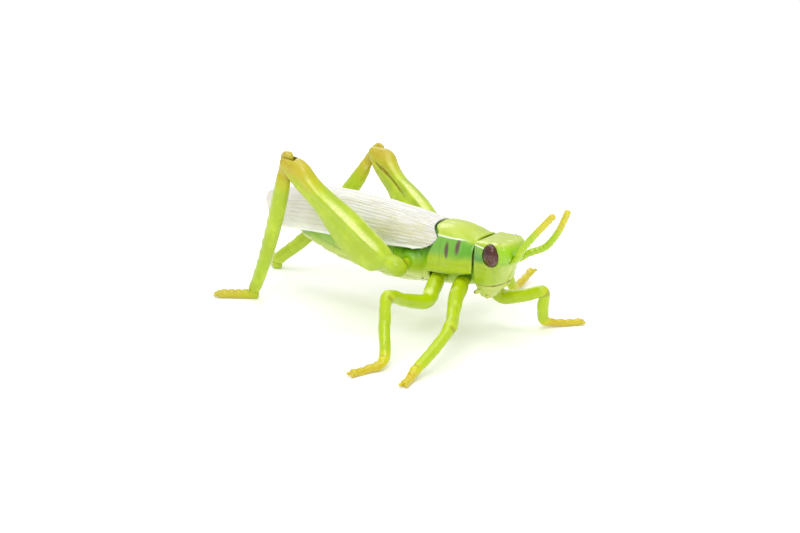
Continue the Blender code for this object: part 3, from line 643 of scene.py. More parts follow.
def leg_look():
    look = Look("walking_leg_plastic", LIME_RICH)
    brown = look.value("brown") + (look.noise(1.8) - 0.5) * 0.3
    # painted highlight on the upper leg ('ridge' values), with paler specks of glint
    look.paint(rgb(224, 236, 110), look.value("ridge").step(0.2, 0.9), strength=0.6)
    glint_specks = look.value("ridge").step(0.35, 0.9) * look.noise(0.5).step(0.48, 0.6)
    look.paint(rgb(248, 250, 190), glint_specks, strength=0.7)
    look.paint(rgb(172, 196, 20), look.noise(3.0).step(0.45, 0.7), strength=0.5)
    look.paint(rgb(212, 208, 20), brown.step(0.2, 0.65), strength=0.9)
    look.paint(OCHRE, brown.step(0.6, 1.0), strength=0.75)
    look.paint(BROWN, look.value("notch").step(0.35, 0.9), strength=0.38)
    look.dent(look.noise(0.6, detail=2.0) * look.value("ridge"), amount=0.12)
    return look.finish(rough=0.32, coat=0.35, coat_rough=0.2, specular=0.4)


def antenna_look():
    look = Look("antenna_plastic", rgb(176, 206, 20))
    brown = look.value("brown") + (look.noise(1.2) - 0.5) * 0.5
    look.paint(rgb(212, 206, 40), brown.step(0.35, 0.8))
    look.paint(rgb(200, 158, 40), brown.step(0.75, 1.2), strength=0.6)
    mottle = look.noise(0.7).step(0.52, 0.66) * brown.step(0.5, 0.9)
    look.paint(rgb(190, 142, 34), mottle, strength=0.45)
    return look.finish(rough=0.3, coat=0.4)


def inner_look():
    look = Look("inner_plastic", rgb(178, 196, 90))
    look.paint(rgb(200, 212, 130), look.noise(1.6, detail=4.0).step(0.4, 0.65))
    return look.finish(rough=0.5, coat=0.0)


MATERIALS = {
    "pronotum": pronotum_look(), "thorax": thorax_look(), "abdomen": abdomen_look(),
    "belly": belly_look(), "sternum": sternum_look(), "head": head_look(), "jaw": jaw_look(),
    "eye": eye_look(), "wing": wing_look(), "hind": hind_look(), "leg": leg_look(),
    "antenna": antenna_look(), "inner": inner_look()}

# ------------------------------------------------------------------ body shells
# X, half width, height of the widest place, top, bottom
body_at = hermite(
    (-54.5, 1.6, 21.2, 23.0, 20.2), (-52.0, 3.2, 20.6, 24.8, 18.9), (-45.0, 5.4, 20.0, 27.6, 16.4),
    (-36.0, 6.4, 19.0, 29.8, 14.0), (-26.0, 6.7, 18.3, 31.0, 12.8), (-15.0, 6.7, 17.6, 31.2, 12.0),
    (-8.0, 6.7, 17.6, 31.0, 12.9), (-3.0, 6.8, 17.6, 30.2, 13.6), (1.0, 6.6, 17.6, 29.2, 13.9))
BODY_POWER = 2.2
SEAM_Z = 15.0  # seam between thorax and sternum
THORAX_REAR, ABDOMEN_FRONT, ABDOMEN_REAR = -15.0, -15.3, -54.0
SEGMENTS = (-20.4, -26.0, -31.6, -37.0, -42.0, -46.6, -50.4)  # rear edges of the rings
HIP_X, HIP_Y, HIP_Z = -8.8, 13.2, 19.8
MID_PEG, FRONT_PEG = (0.2, 5.5), (8.3, 5.5)  # X, Y of the leg pegs


def body_surface(x, angle):
    half, wide, top, low = body_at(x)
    y = signed_power(np.sin(angle), 2 / BODY_POWER) * half
    rise = signed_power(np.cos(angle), 2 / BODY_POWER)
    return np.stack([x, y, wide + rise * np.where(rise > 0, top - wide, wide - low)], -1)


def angle_at(x, height):
    _, wide, top, low = body_at(x)
    share = np.clip((height - wide) / np.where(height > wide, top - wide, wide - low), -1, 1)
    return np.arccos(signed_power(share, BODY_POWER / 2))


def seam_height(x):
    return np.where(x > -16, SEAM_Z, body_at(x)[3] + 2.2)


def segment_steps(x):
    """Overlapping rings: each stands a little proud at its rear edge."""
    out, crease = np.zeros_like(x), np.zeros_like(x)
    edges = (ABDOMEN_FRONT, *SEGMENTS, ABDOMEN_REAR)
    for front, rear in zip(edges, edges[1:]):
        inside = (x <= front) & (x > rear)
        out = np.where(inside, 0.34 * ease(0, 1, (front - x) / (front - rear)) - 0.17, out)
    for edge in SEGMENTS:
        crease = crease + peak(x, edge - 0.15, 0.28)
    return out - 0.15 * crease, np.clip(crease, 0, 1)


def thorax():
    """Two sutures on each flank and a raised boss behind each thigh."""
    x = spread(np.linspace(THORAX_REAR, 0.5, 90), 150)
    low = SEAM_Z + ease(-2.5, -2.2, x) * (23.3 - SEAM_Z)
    skin = body_surface(x, angle_at(x, low) * np.linspace(-1, 1, 150))
    _, y, z = np.moveaxis(skin, -1, 0)
    suture = peak(x - 0.16 * (z - 20), -4.6, 0.28) + peak(x - 0.2 * (z - 20), -12.4, 0.28)
    skin = pushed(skin, np.where(np.abs(y) > 3, -0.3 * suture + 0.12 * lumps(skin, 5, seed=3), 0))
    x, y, z = np.moveaxis(skin, -1, 0)
    boss_y, boss_radius = 8.6, 4.4
    away = np.hypot(x - HIP_X, z - HIP_Z)
    boss = boss_y - (boss_y - np.abs(y)) * ease(1.9, boss_radius, away)
    skin[..., 1] = np.where(away < boss_radius, np.sign(y) * np.maximum(boss, np.abs(y)), y)
    Piece("thorax_shell").shell(skin, wall=0.7).make(
        "thorax", "body", "leaf", ["thorax_upper_shell"], rim=0.12)


def abdomen_back():
    x = spread(np.linspace(ABDOMEN_FRONT, ABDOMEN_REAR, 190), 96)
    skin = body_surface(x, angle_at(x, seam_height(x)) * np.linspace(-1, 1, 96))
    step, crease = segment_steps(x)
    above = skin[..., 2] - seam_height(x)
    fold = peak(above, 2.6, 0.35) + 0.8 * peak(above, 0.2, 0.3)
    skin = pushed(skin, step - 0.1 * fold + 0.05 * lumps(skin, 3, seed=5))
    # rounded tail end
    end, tail = skin[-1], []
    for k in np.linspace(0, 1, 12)[1:]:
        ring = end + (end.mean(0) - end) * (1 - math.cos(k * math.pi / 2))
        ring[:, 0] -= 0.9 * math.sin(k * math.pi / 2)
        tail.append(ring)
    skin = np.concatenate([skin, np.array(tail)])
    crease = np.concatenate([np.clip(crease + fold, 0, 1), np.zeros((11, 96))])
    Piece("abdomen_shell").shell(skin, wall=0.55, crease=crease).make(
        "abdomen", "body", "leaf", ["abdomen_upper_shell"], rim=0.1)


def belly_grid(first, last, rows):
    """The body below its seam, closed flat across the top."""
    x = spread(np.linspace(first, last, rows), 64)
    limit = math.pi - angle_at(x, seam_height(x))
    return body_surface(x, math.pi + limit * np.linspace(-1, 1, 64))


def abdomen_belly():
    skin = belly_grid(ABDOMEN_FRONT, -53.8, 180)
    step, crease = segment_steps(skin[..., 0])
    Piece("abdomen_belly").grid(pushed(skin, step), crease=crease).make(
        "belly", "body", "belly", ["abdomen_belly_plate"], rim=0.1)


KEEL_LOW = hermite((-2.4, 13.7), (3.0, 14.2), (11.2, 15.6))  # X, bottom
# half section of the keel: Y, Z (above the bottom where under 10)
KEEL_SECTION = ((0, 0.0), (2.2, 0.1), (3.6, 1.2), (4.3, 3.2), (4.6, 19.5), (6.9, 19.6), (6.9, 21.3))


def keel_grid():
    rows = []
    for x in np.linspace(-2.2, 10.8, 60):
        narrow = 1.0 - 0.14 * max(0.0, x - 5.0) / 6.0
        low = float(KEEL_LOW(x)[0])
        half = np.array([(y * narrow, z if z > 10 else low + z) for y, z in KEEL_SECTION])
        along = run_along(half)
        at = np.linspace(0, along[-1], 40)
        y, z = np.interp(at, along, half[:, 0]), np.interp(at, along, half[:, 1])
        y = y + 0.12 * math.sin(x * 2.1) * ease(16, 18.5, z) * (z < 19.4)
        left = np.stack([np.full(40, x), y, z], 1)
        rows.append(np.concatenate([left, (left[1:] * [1, -1, 1])[::-1]]))
    return np.array(rows)


def sternum():
    under = belly_grid(THORAX_REAR, -0.9, 60)
    dip = -0.25 * peak(under[..., 0], -8.0, 0.3)
    under = pushed(under, dip + 0.08 * lumps(under, 4, seed=8))
    sockets = [
        rod_grid((x, y * sign, 10), (x, y * sign, 19.5), radius=2.6)
        for sign, _ in SIDES for x, y in (MID_PEG, FRONT_PEG)]
    Piece("sternum").grid(under).grid(keel_grid()).make(
        "sternum", "body", "belly", ["sternum_plate"], rim=0.12, cutters=sockets)


SADDLE_FRONT, SADDLE_POWER, SADDLE_DROP = 12.6, 3.1, 9.0
# X, half width, height of the widest place, top, bottom
saddle_at = hermite(
    (-2.0, 8.2, 20.0, 31.4, 18.7), (2.0, 8.5, 20.3, 31.75, 19.0), (5.0, 8.5, 20.6, 31.4, 19.2),
    (8.5, 8.25, 21.0, 30.4, 19.5), (SADDLE_FRONT, 7.42, 21.6, 29.8, 20.6))
# share of the way from the crown to the lower edge, X of the rear edge
saddle_rear = hermite(
    (0.0, -2.0), (0.2, -1.5), (0.42, 0.7), (0.52, 0.9), (0.7, -0.6), (0.85, -1.9), (1.0, -2.0))


def pronotum():
    """The saddle over the front of the thorax."""
    share = np.linspace(-1, 1, 240)[None, :] + np.zeros((110, 1))
    rear = saddle_rear(np.abs(share))[0]
    x = rear + (SADDLE_FRONT - rear) * np.linspace(0, 1, 110)[:, None]
    half, wide, top, low = saddle_at(x)
    angle = (math.pi / 2 + np.arcsin(np.minimum(1, (wide - low) / SADDLE_DROP))) * share
    y = signed_power(np.sin(angle), 2 / SADDLE_POWER) * half
    cos = np.cos(angle)
    arch = np.abs(cos) ** (2 / SADDLE_POWER) * (top - wide)
    z = wide + np.where(cos > 0, arch, cos * SADDLE_DROP)
    skin = np.stack([x, y, z], -1)
    side = ease(5.0, 6.6, np.abs(y))
    amount = 0.12 * peak(y, 0, 0.7)  # middle ridge
    amount += 0.3 * side * peak(stripe_offset(x, z), 0, 0.3)
    seam = peak(x, SADDLE_SEAM_X, 0.16) * ease(19.3, 20.5, z) * (1 - ease(28.0, 29.0, z))
    amount -= 0.1 * side * seam
    dimples = peak(x, 4.7, 0.5) * peak(z, 25.6, 1.6) + peak(x, 9.2, 0.5) * peak(z, 27.0, 1.4)
    amount -= 0.16 * side * dimples
    # bead and groove over the lower edge
    lift = z - 20.3 - (x - 5) * 0.1
    amount += side * 0.22 * peak(lift, 0.0, 0.5) - side * 0.22 * peak(lift, 1.3, 0.45)
    rough = side * (1 - ease(22.6, 24.2, z)) * ease(20.6, 21.6, z) * ease(3.5, 6, x)
    amount += 0.16 * rough * lumps(skin, 1.6, seed=11) + 0.05 * lumps(skin, 3.2, seed=12)
    # rear and front rims
    amount += 0.2 * peak(x - rear, 0.45, 0.35) * (1 - 0.5 * side) + 0.18 * peak(x, 12.0, 0.35)
    Piece("pronotum").shell(pushed(skin, amount), wall=0.85 - 0.4 * ease(10.5, 12.4, x)).make(
        "pronotum", "body", "lime", ["pronotum_shell"], rim=0.14)


# ------------------------------------------------------------------ head
# Z, rear X, front X, half width
head_at = hermite(
    (11.3, 12.8, 13.6, 0.8), (12.3, 12.6, 15.0, 2.0), (14.0, 12.4, 16.7, 3.6),
    (16.0, 12.7, 18.4, 5.1), (18.0, 12.8, 19.6, 6.55), (20.5, 12.8, 20.7, 7.05),
    (23.0, 12.8, 21.7, 7.12), (25.0, 12.8, 22.9, 7.08), (27.0, 12.86, 23.5, 6.9),
    (28.6, 12.86, 23.3, 6.7), (30.0, 13.1, 22.4, 5.7), (30.8, 14.2, 21.0, 3.7))
HEAD_BACK_X, HEAD_TOP_Z = 12.8, 29.35  # flat back, start of the rounded crown
HEAD_FRONT_POWER, HEAD_BACK_POWER = 2.1, 11
JAW_LOW_Z = 13.0
QUARTER_TURN = np.linspace(0, math.pi / 2, 14)
EYE, EYE_SIZE = np.array([18.2, 6.0, 26.4]), np.array([2.5, 1.9, 3.2])
SOCKET_GAP = 0.12
ANTENNA_BASE, ANTENNA_AXIS = np.array([23.6, 2.3, 25.2]), unit([0.72, 0.42, 0.55])


def head_rings(levels, around):
    """Horizontal rings at levels of (Z, size share, rise)."""
    rows = []
    turn = 2 * math.pi * (np.arange(around) + 0.5) / around
    cos, sin = np.cos(turn), np.sin(turn)
    front_share, back_share = 2 / HEAD_FRONT_POWER, 2 / HEAD_BACK_POWER
    for z, size, rise in levels:
        rear, front, half = (float(v) for v in head_at(z))
        if z > 17.5:
            rear = max(rear, HEAD_BACK_X)
        middle = rear + (front - rear) * 0.42
        ahead = signed_power(cos, front_share) * (front - middle)
        x = np.where(cos > 0, ahead, signed_power(cos, back_share) * (middle - rear))
        y = np.where(cos > 0, signed_power(sin, front_share), signed_power(sin, back_share))
        y = y * half * (1 + 0.035 * ease(0.2, 0.9, -cos))
        rows.append(np.stack([middle + x * size, y * size, np.full(around, z + rise)], 1))
    return np.array(rows)


def head():
    levels = [(z, 1.0, 0) for z in np.linspace(17.16, HEAD_TOP_Z, 116)]
    levels += [
        (HEAD_TOP_Z, math.cos(t) * 0.99 + 0.01, 0.6 * math.sin(t)) for t in QUARTER_TURN[1:]]
    skin = head_rings(levels, 220)
    x, y, z = np.moveaxis(skin, -1, 0)
    out = np.abs(y)
    outer = ease(3.2, 5.0, out)
    brow = peak(x, 22.0, 2.1) * peak(out, 3.8, 2.4) * peak(z, 26.9, 2.2)
    eye_away = np.hypot((x - EYE[0]) / EYE_SIZE[0], (z - EYE[2]) / EYE_SIZE[2])
    lines = peak(x - (24 - z) * 0.05, 18.9, 0.14) + peak(x - (24 - z) * -0.12, 20.4, 0.14)
    lines = outer * lines * ease(17.4, 18.4, z) * (1 - ease(22.8, 24.0, z))
    cheek = outer * peak(x - (z - 20) * 0.1, 15.9, 0.2)
    cheek = cheek * ease(17.6, 19, z) * (1 - ease(23.5, 25, z))
    # raised strip down the middle of the face
    face = (1 - ease(1.2, 2.1, out)) * ease(18.6, 20.2, x) * (1 - ease(28.5, 30.0, z))
    amount = 0.95 * brow
    amount -= 0.5 * ease(18.6, 20.6, x) * peak(z, 24.0, 0.6) * ease(1.0, 2.4, out)
    amount += 0.3 * outer * peak(eye_away, 1.2, 0.13) - 0.22 * lines - 0.22 * cheek + 0.3 * face
    amount += 0.25 * ease(15.5, 18.5, x) * peak(z, 18.3, 0.7) * ease(2.5, 4.0, out)
    amount += 0.16 * (1 - ease(0.2, 0.7, out)) * ease(27, 30, z)
    amount += 0.06 * lumps(skin, 3.0, seed=21)
    amount += 0.1 * lumps(skin, 1.8, seed=22) * outer * (1 - ease(22, 24, z))
    # the back stays flat and the crown smooth
    amount = np.where(x < 13.3, np.minimum(amount, 0) * 0.2, amount)
    amount = amount * (1 - ease(29.7, 29.95, z))
    mirrors = [np.array([1, sign, 1]) for sign, _ in SIDES]
    ball = (EYE_SIZE + SOCKET_GAP) * ball_grid(40, 56, margin=0.02)
    sockets = [EYE * mirror + ball for mirror in mirrors]
    hole = ANTENNA_BASE - ANTENNA_AXIS * 2.2, ANTENNA_BASE + ANTENNA_AXIS * 4
    sockets += [rod_grid(hole[0] * mirror, hole[1] * mirror, radius=0.98) for mirror in mirrors]
    crease = np.clip(lines + cheek + 0.8 * peak(eye_away, 1.06, 0.06) * outer, 0, 1)
    Piece("head").grid(pushed(skin, amount, closed=True), crease=crease).make(
        "head", "head", "lime", ["head_capsule", "head_back_cap"], cutters=sockets)


# two short feelers below the mouth on each side: line on the left, radius
PALPS = (
    (((14.4, 3.6, 15.2), (13.5, 4.5, 14.9), (12.7, 5.0, 14.6), (12.1, 5.2, 14.2)), 0.6),
    (((15.2, 2.2, 14.0), (15.2, 2.6, 13.3), (14.9, 2.7, 12.9), (14.6, 2.7, 12.6)), 0.5))


def mouthparts():
    levels = [(JAW_LOW_Z, math.sin(t) * 0.97 + 0.03, -1.0 * math.cos(t)) for t in QUARTER_TURN[:-1]]
    levels += [(z, 1.0, 0) for z in np.linspace(JAW_LOW_Z, 17.1, 60)]
    skin = head_rings(levels, 160)
    x, y, z = np.moveaxis(skin, -1, 0)
    slant = x - (z - 14) * 0.35
    amount = -0.22 * peak(slant, 15.0, 0.3) * ease(1.5, 2.5, np.abs(y))
    amount -= 0.25 * peak(z, 15.2, 0.3) * ease(14.5, 16, x)
    amount += 0.4 * peak(x, 18.3, 1.2) * peak(z, 15.9, 0.9) + 0.15 * lumps(skin, 2.2, seed=31)
    amount -= 0.12 * peak(y, 0, 0.4) * ease(14, 16, x)
    jaw = Piece("mouthparts")
    jaw.grid(pushed(skin, amount, closed=True), brown=0.2 * peak(slant, 15.0, 0.4))
    for sign, _ in SIDES:
        for controls, radius in PALPS:
            line, control, run = even_path(np.array(controls) * [1, sign, 1], 44)
            palp = tube_grid(line, radius * (1 + 0.16 * np.cos(run * 3.4)), around=18)
            jaw.grid(palp, brown=ease(1.6, 2.6, control)[:, None])
    jaw.make("jaw", "head", "belly", ["lower_jaw"])


def eye(sign, side_name):
    dx, dy, dz = np.moveaxis(ball_grid(90, 110, margin=0.01), -1, 0)
    # narrower below
    lowness = ease(0.0, 1.0, -dz)
    dx = dx * (1 - 0.14 * lowness) + 0.12 * lowness * dx * dx
    skin = (EYE + EYE_SIZE * np.stack([dx, dy, dz], -1)) * [1, sign, 1]
    skin = pushed(skin, 0.02 * lumps(skin, 1.2, seed=41), closed=True)
    Piece(f"eye_ball_{side_name}").grid(skin).make("eye", "head", "plum", [f"eye_{side_name}"])


FEELER_BENDS = {
    "right": ((27.6, -4.5, 29.7), (31.9, -4.5, 34.9), (37.2, -3.8, 41.0)),
    "left": ((29.0, 5.2, 28.4), (32.7, 5.5, 33.3), (36.1, 5.0, 40.0))}


def feeler(sign, side_name):
    base, axis = ANTENNA_BASE * [1, sign, 1], ANTENNA_AXIS * [1, sign, 1]
    straight = [base - axis * 2.0, base + axis * 0.4, base + axis * 2.2]
    line, _, run = even_path([*straight, *FEELER_BENDS[side_name]], 260)
    share = run / run[-1]
    wide = np.interp(share, [0, 0.13, 0.19, 0.6, 1.0], [0.85, 0.85, 1.0, 0.94, 0.9])
    bead = 0.06 * np.abs(np.sin(run * 1.9 + 0.7 * np.sin(run * 0.8)))
    bead = bead + 0.04 * np.sin(run * 4.3 + sign)
    skin = tube_grid(line, wide + bead * ease(0.1, 0.2, share), around=30)
    skin = pushed(skin, 0.05 * lumps(skin, 1.6, seed=43), closed=True)
    name = f"antenna_{side_name}"
    brown = (0.05 + 0.85 * ease(0.3, 0.95, share))[:, None]
    Piece(f"feeler_{side_name}").grid(skin, brown=brown).make("antenna", name, "lime", [name])


# ------------------------------------------------------------------ wings
# X, ridge height, lower edge height, half width
wing_at = hermite(
    (-67.0, 29.4, 20.4, 3.4), (-60.0, 31.2, 20.6, 5.0), (-52.0, 33.0, 21.4, 6.2),
    (-45.0, 34.0, 22.1, 7.0), (-32.0, 34.5, 22.8, 7.6), (-18.0, 33.7, 23.3, 7.7),
    (-7.0, 32.5, 24.2, 7.7), (-2.0, 31.6, 24.4, 7.65), (1.0, 31.0, 24.6, 7.6))
# share of the way from the ridge to the lower edge, X of the front and rear edges
wing_front = hermite(
    (0.0, -2.9), (0.2, -2.75), (0.35, -2.35), (0.5, -1.05), (0.58, -0.2), (0.66, 0.15),
    (0.76, -0.35), (0.84, -1.2), (0.9, -2.3), (0.95, -3.7), (0.98, -5.2), (1.0, -7.2))
wing_tip = hermite((0.0, -65.0), (0.3, -65.8), (0.6, -65.2), (0.85, -62.0), (1.0, -56.5))
WING_POWER = 2.2
WING_GAP = 0.05  # least distance from the middle plane


def wings():
    u = spread(np.linspace(0, 1, 200), 130)
    v = np.linspace(0, 1, 130)[None, :] + np.zeros((200, 1))
    x = wing_front(v)[0] + (wing_tip(v)[0] - wing_front(v)[0]) * u
    ridge, low, half = wing_at(x)
    turn = v * math.pi / 2
    y = WING_GAP + (half - WING_GAP) * np.sin(turn) ** (2 / WING_POWER)
    z = low + (ridge - low) * np.cos(turn) ** (2 / WING_POWER)
    wander = 0.012 * np.sin(u * 9) + 0.03 * u
    vein = np.exp(-((np.sin((v + wander) * math.pi * 15) / 0.32) ** 2))
    for sign, side_name in SIDES:
        skin = np.stack([x, y * sign, z], -1)
        amount = 0.13 * vein * ease(0.02, 0.08, v) + 0.16 * ease(0.95, 0.985, v)
        amount = amount + 0.1 * peak(u, 0.0, 0.02)
        amount = amount + 0.1 * lumps(skin, 7.0, seed=51) * ease(0.02, 0.2, v) - 0.15
        skin = pushed(skin, amount)
        skin[..., 1] = sign * np.maximum(skin[..., 1] * sign, WING_GAP)
        Piece(f"wing_{side_name}_cover").shell(skin, wall=0.5, along=u, across=v).make(
            "wing", f"wing_{side_name}", "pearl", [f"forewing_{side_name}"], rim=0.1)


# ------------------------------------------------------------------ hind legs
# distance from the hip, half height above and below the axis, half thickness
femur_at = hermite(
    (-3.0, 0.9, 0.9, 0.9), (-2.2, 1.9, 1.8, 1.9), (-0.6, 2.5, 2.4, 2.5), (1.4, 2.5, 2.9, 2.6),
    (3.2, 1.7, 3.9, 2.2), (4.6, 1.8, 6.6, 2.5), (8.0, 2.2, 8.7, 2.9), (12.0, 2.4, 9.2, 3.1),
    (18.5, 2.8, 8.7, 3.2), (24.0, 2.6, 6.9, 3.0), (30.0, 2.1, 5.1, 2.7), (35.0, 2.9, 4.5, 2.6),
    (38.5, 4.0, 4.1, 2.7), (41.0, 3.7, 3.5, 2.7), (42.6, 2.9, 3.0, 2.7), (44.6, 1.75, 2.0, 2.4),
    (45.4, 1.0, 1.2, 1.8), (45.7, 0.35, 0.45, 1.0))
FEMUR_LENGTH = 44.2
# outline of the knee slot: distance from the hip, height over the thigh's axis
KNEE_SLOT = ((36.2, -6), (36.2, -1.0), (40.4, 0.9), (42.0, 2.6), (42.8, 6.0), (50, 6), (50, -6))
# knee gives the thigh's way, toe is X and Y; bow and stout bend and thicken the shank
HIND_LEGS = {
    "right": dict(knee=(-44.0, -18.4, 45.8), ankle=(-61.1, -13.7, 2.2), toe=(-70.6, -20.1),
                  bow=0.5, stout=1.06, ankle_brown=0.3, foot_brown=0.4),
    "left": dict(knee=(-46.3, 26.2, 38.4), ankle=(-74.2, 12.2, 2.2), toe=(-83.2, 19.3),
                 bow=1.4, stout=1.16, ankle_brown=0.05, foot_brown=0.05)}


def add_claws(piece, tip, way, back, middle, end, drop, count, radii, **values):
    """Two claws at a foot's tip; middle and end are distances along way and outwards."""
    for sign in (-1, 1):
        out = unit(np.cross(way, [0, 0, 1])) * sign
        line, _, run = even_path(np.array([
            tip - way * back, tip + way * middle[0] + out * middle[1],
            tip + way * end[0] + out * end[1] - [0, 0, drop]]), count)
        claw = tube_grid(line, np.interp(run, [0, run[-1]], radii), around=16)
        keep_above(claw)
        piece.grid(claw, **values)


def thigh(side_name, sign, hip, knee, along, across, up):
    stations = [np.linspace(-3.0, 1, 22)[:-1], np.linspace(1, 40, 120)[:-1], np.linspace(40, 45.7, 40)]
    t = spread(np.concatenate(stations), 88)
    turn = (2 * math.pi * np.arange(88) / 88)[None, :] + np.zeros_like(t)
    above, below, thick = femur_at(t)
    cos, sin = signed_power(np.cos(turn), 2 / 2.2), signed_power(np.sin(turn), 2 / 2.2)
    z = cos * np.where(cos > 0, above, below)
    y = sin * thick
    # crest along each flank with a hollow under it
    middle = ease(4, 9, t) * (1 - ease(36, 40, t))
    level = above * 0.4
    relief = 0.26 * peak(z, level, 0.8) * middle - 0.18 * peak(z, level - 2.0, 0.8) * middle
    y = y + np.sign(sin) * relief * (np.abs(sin) > 0.3)
    # groove on the side to the body
    groove = np.where(sin < 0, 1.0, 0.0) * peak(z, -0.2 - 0.3 * above, 0.42)
    groove = groove * ease(19, 27, t) * (1 - ease(39, 41.5, t))
    y = y + groove * 0.7
    rim = peak(z, -below * 0.88, 0.26) * ease(5, 10, t) * (1 - ease(33, 38, t))
    y = y + np.sign(sin) * 0.2 * rim
    knee_ring = ease(39, 41, t) * peak(np.hypot(t - 43.4, z), 2.0, 0.35)
    y = y - np.sign(sin) * 0.12 * knee_ring
    skin = hip + t[..., None] * along + y[..., None] * across + z[..., None] * up
    skin = pushed(skin, 0.06 * lumps(skin, 4.0, seed=61) - 0.05, closed=True)

    # painted highlight: shine along the crest and a pale line on the lower rim, stored as 'ridge'
    shine = peak(z, above * 0.68, 0.25 * above) * ease(4, 9, t)
    shine = shine * (1 - 0.55 * ease(22, 30, t)) * (1 - ease(35, 39, t))
    # painted gap shadow: dark marks under the root beside the body, and a ring at the notch
    fleck = (peak(t, 3.3, 0.35) + peak(t, 1.6, 0.25)) * ease(0.75, 1.0, -cos) * 0.9
    fleck = fleck + 0.4 * peak(t, 3.4, 0.3)
    brown = ease(24, 41, t) * 0.95 + 0.25 * ease(38, 42, t)
    brown = brown - 0.35 * peak(z, -below * 0.5, 2.0) * (1 - ease(34, 40, t))
    brown = brown - 0.6 * peak(z, -1.6, 1.7) * ease(34, 38, t)
    # olive: painted shade in the groove on the body side and in the notch by the hip, and an olive
    # spot by the knee
    olive = 0.9 * groove + 0.4 * peak(t, 36.0, 2.4) * peak(z, -0.6, 1.3) + 0.35 * peak(t, 3.4, 0.6)
    piece = Piece(f"thigh_{side_name}").grid(
        skin, brown=brown, ridge=np.clip(shine + 0.45 * rim, 0, 1), olive=olive,
        fleck=np.clip(fleck, 0, 1), outer=1.0)
    peg = [(hip[0], hip[1] - inward * sign, hip[2]) for inward in (6.2, 1.0)]
    piece.grid(rod_grid(*peg, radius=1.55), outer=1.0)
    slot = np.array([
        [hip + far * along + high * up + across * half for far, high in KNEE_SLOT]
        for half in (-1.3, 1.3)])
    bore = rod_grid(knee - across * 2.1, knee + across * 2.1, radius=0.95)
    piece.make("hind", f"hind_thigh_{side_name}", "lime", [f"hind_femur_{side_name}"],
               cutters=[slot, bore])


def add_hind_foot(shank, ankle, toe, brown):
    flat = unit([toe[0] - ankle[0], toe[1] - ankle[1], 0])
    start = np.array([ankle[0], ankle[1], 1.25]) - flat * 1.2
    end = np.array([toe[0], toe[1], 1.2]) + flat * 0.1
    line, _, run = even_path([start, start + flat * 4.2, start + flat * 8.4, end], 130)
    wide = np.interp(run, [0, 2, run[-1] - 2.2, run[-1]], [1.7, 1.5, 1.4, 1.55])
    high = np.interp(run, [0, 2, run[-1] - 1.5, run[-1]], [1.7, 1.35, 1.2, 1.15])
    foot = tube_grid(line, wide, high, around=44, power=2.3)
    level = ease(0.9, 2.2, foot[..., 2])
    pads = np.abs(np.sin((run - 1.0) * math.pi / 2.1))[:, None]
    foot[..., 2] += level * (0.42 * pads - 0.2)
    keep_above(foot)
    brown = (brown + 0.5 * ease(1, 7, run))[:, None]
    # painted highlight on the top of the foot, stored as 'ridge'; olive darkens the top between the
    # pads
    shank.grid(foot, brown=brown, ridge=0.15 * level, olive=0.2 * level * (1 - pads), outer=1.0)
    # the claws get a faint painted highlight as well
    add_claws(shank, line[-1], flat, back=1.6, middle=(-0.2, 0.75), end=(0.75, 1.1), drop=0.4,
              count=20, radii=(0.75, 0.42), brown=0.85, ridge=0.1, outer=1.0)


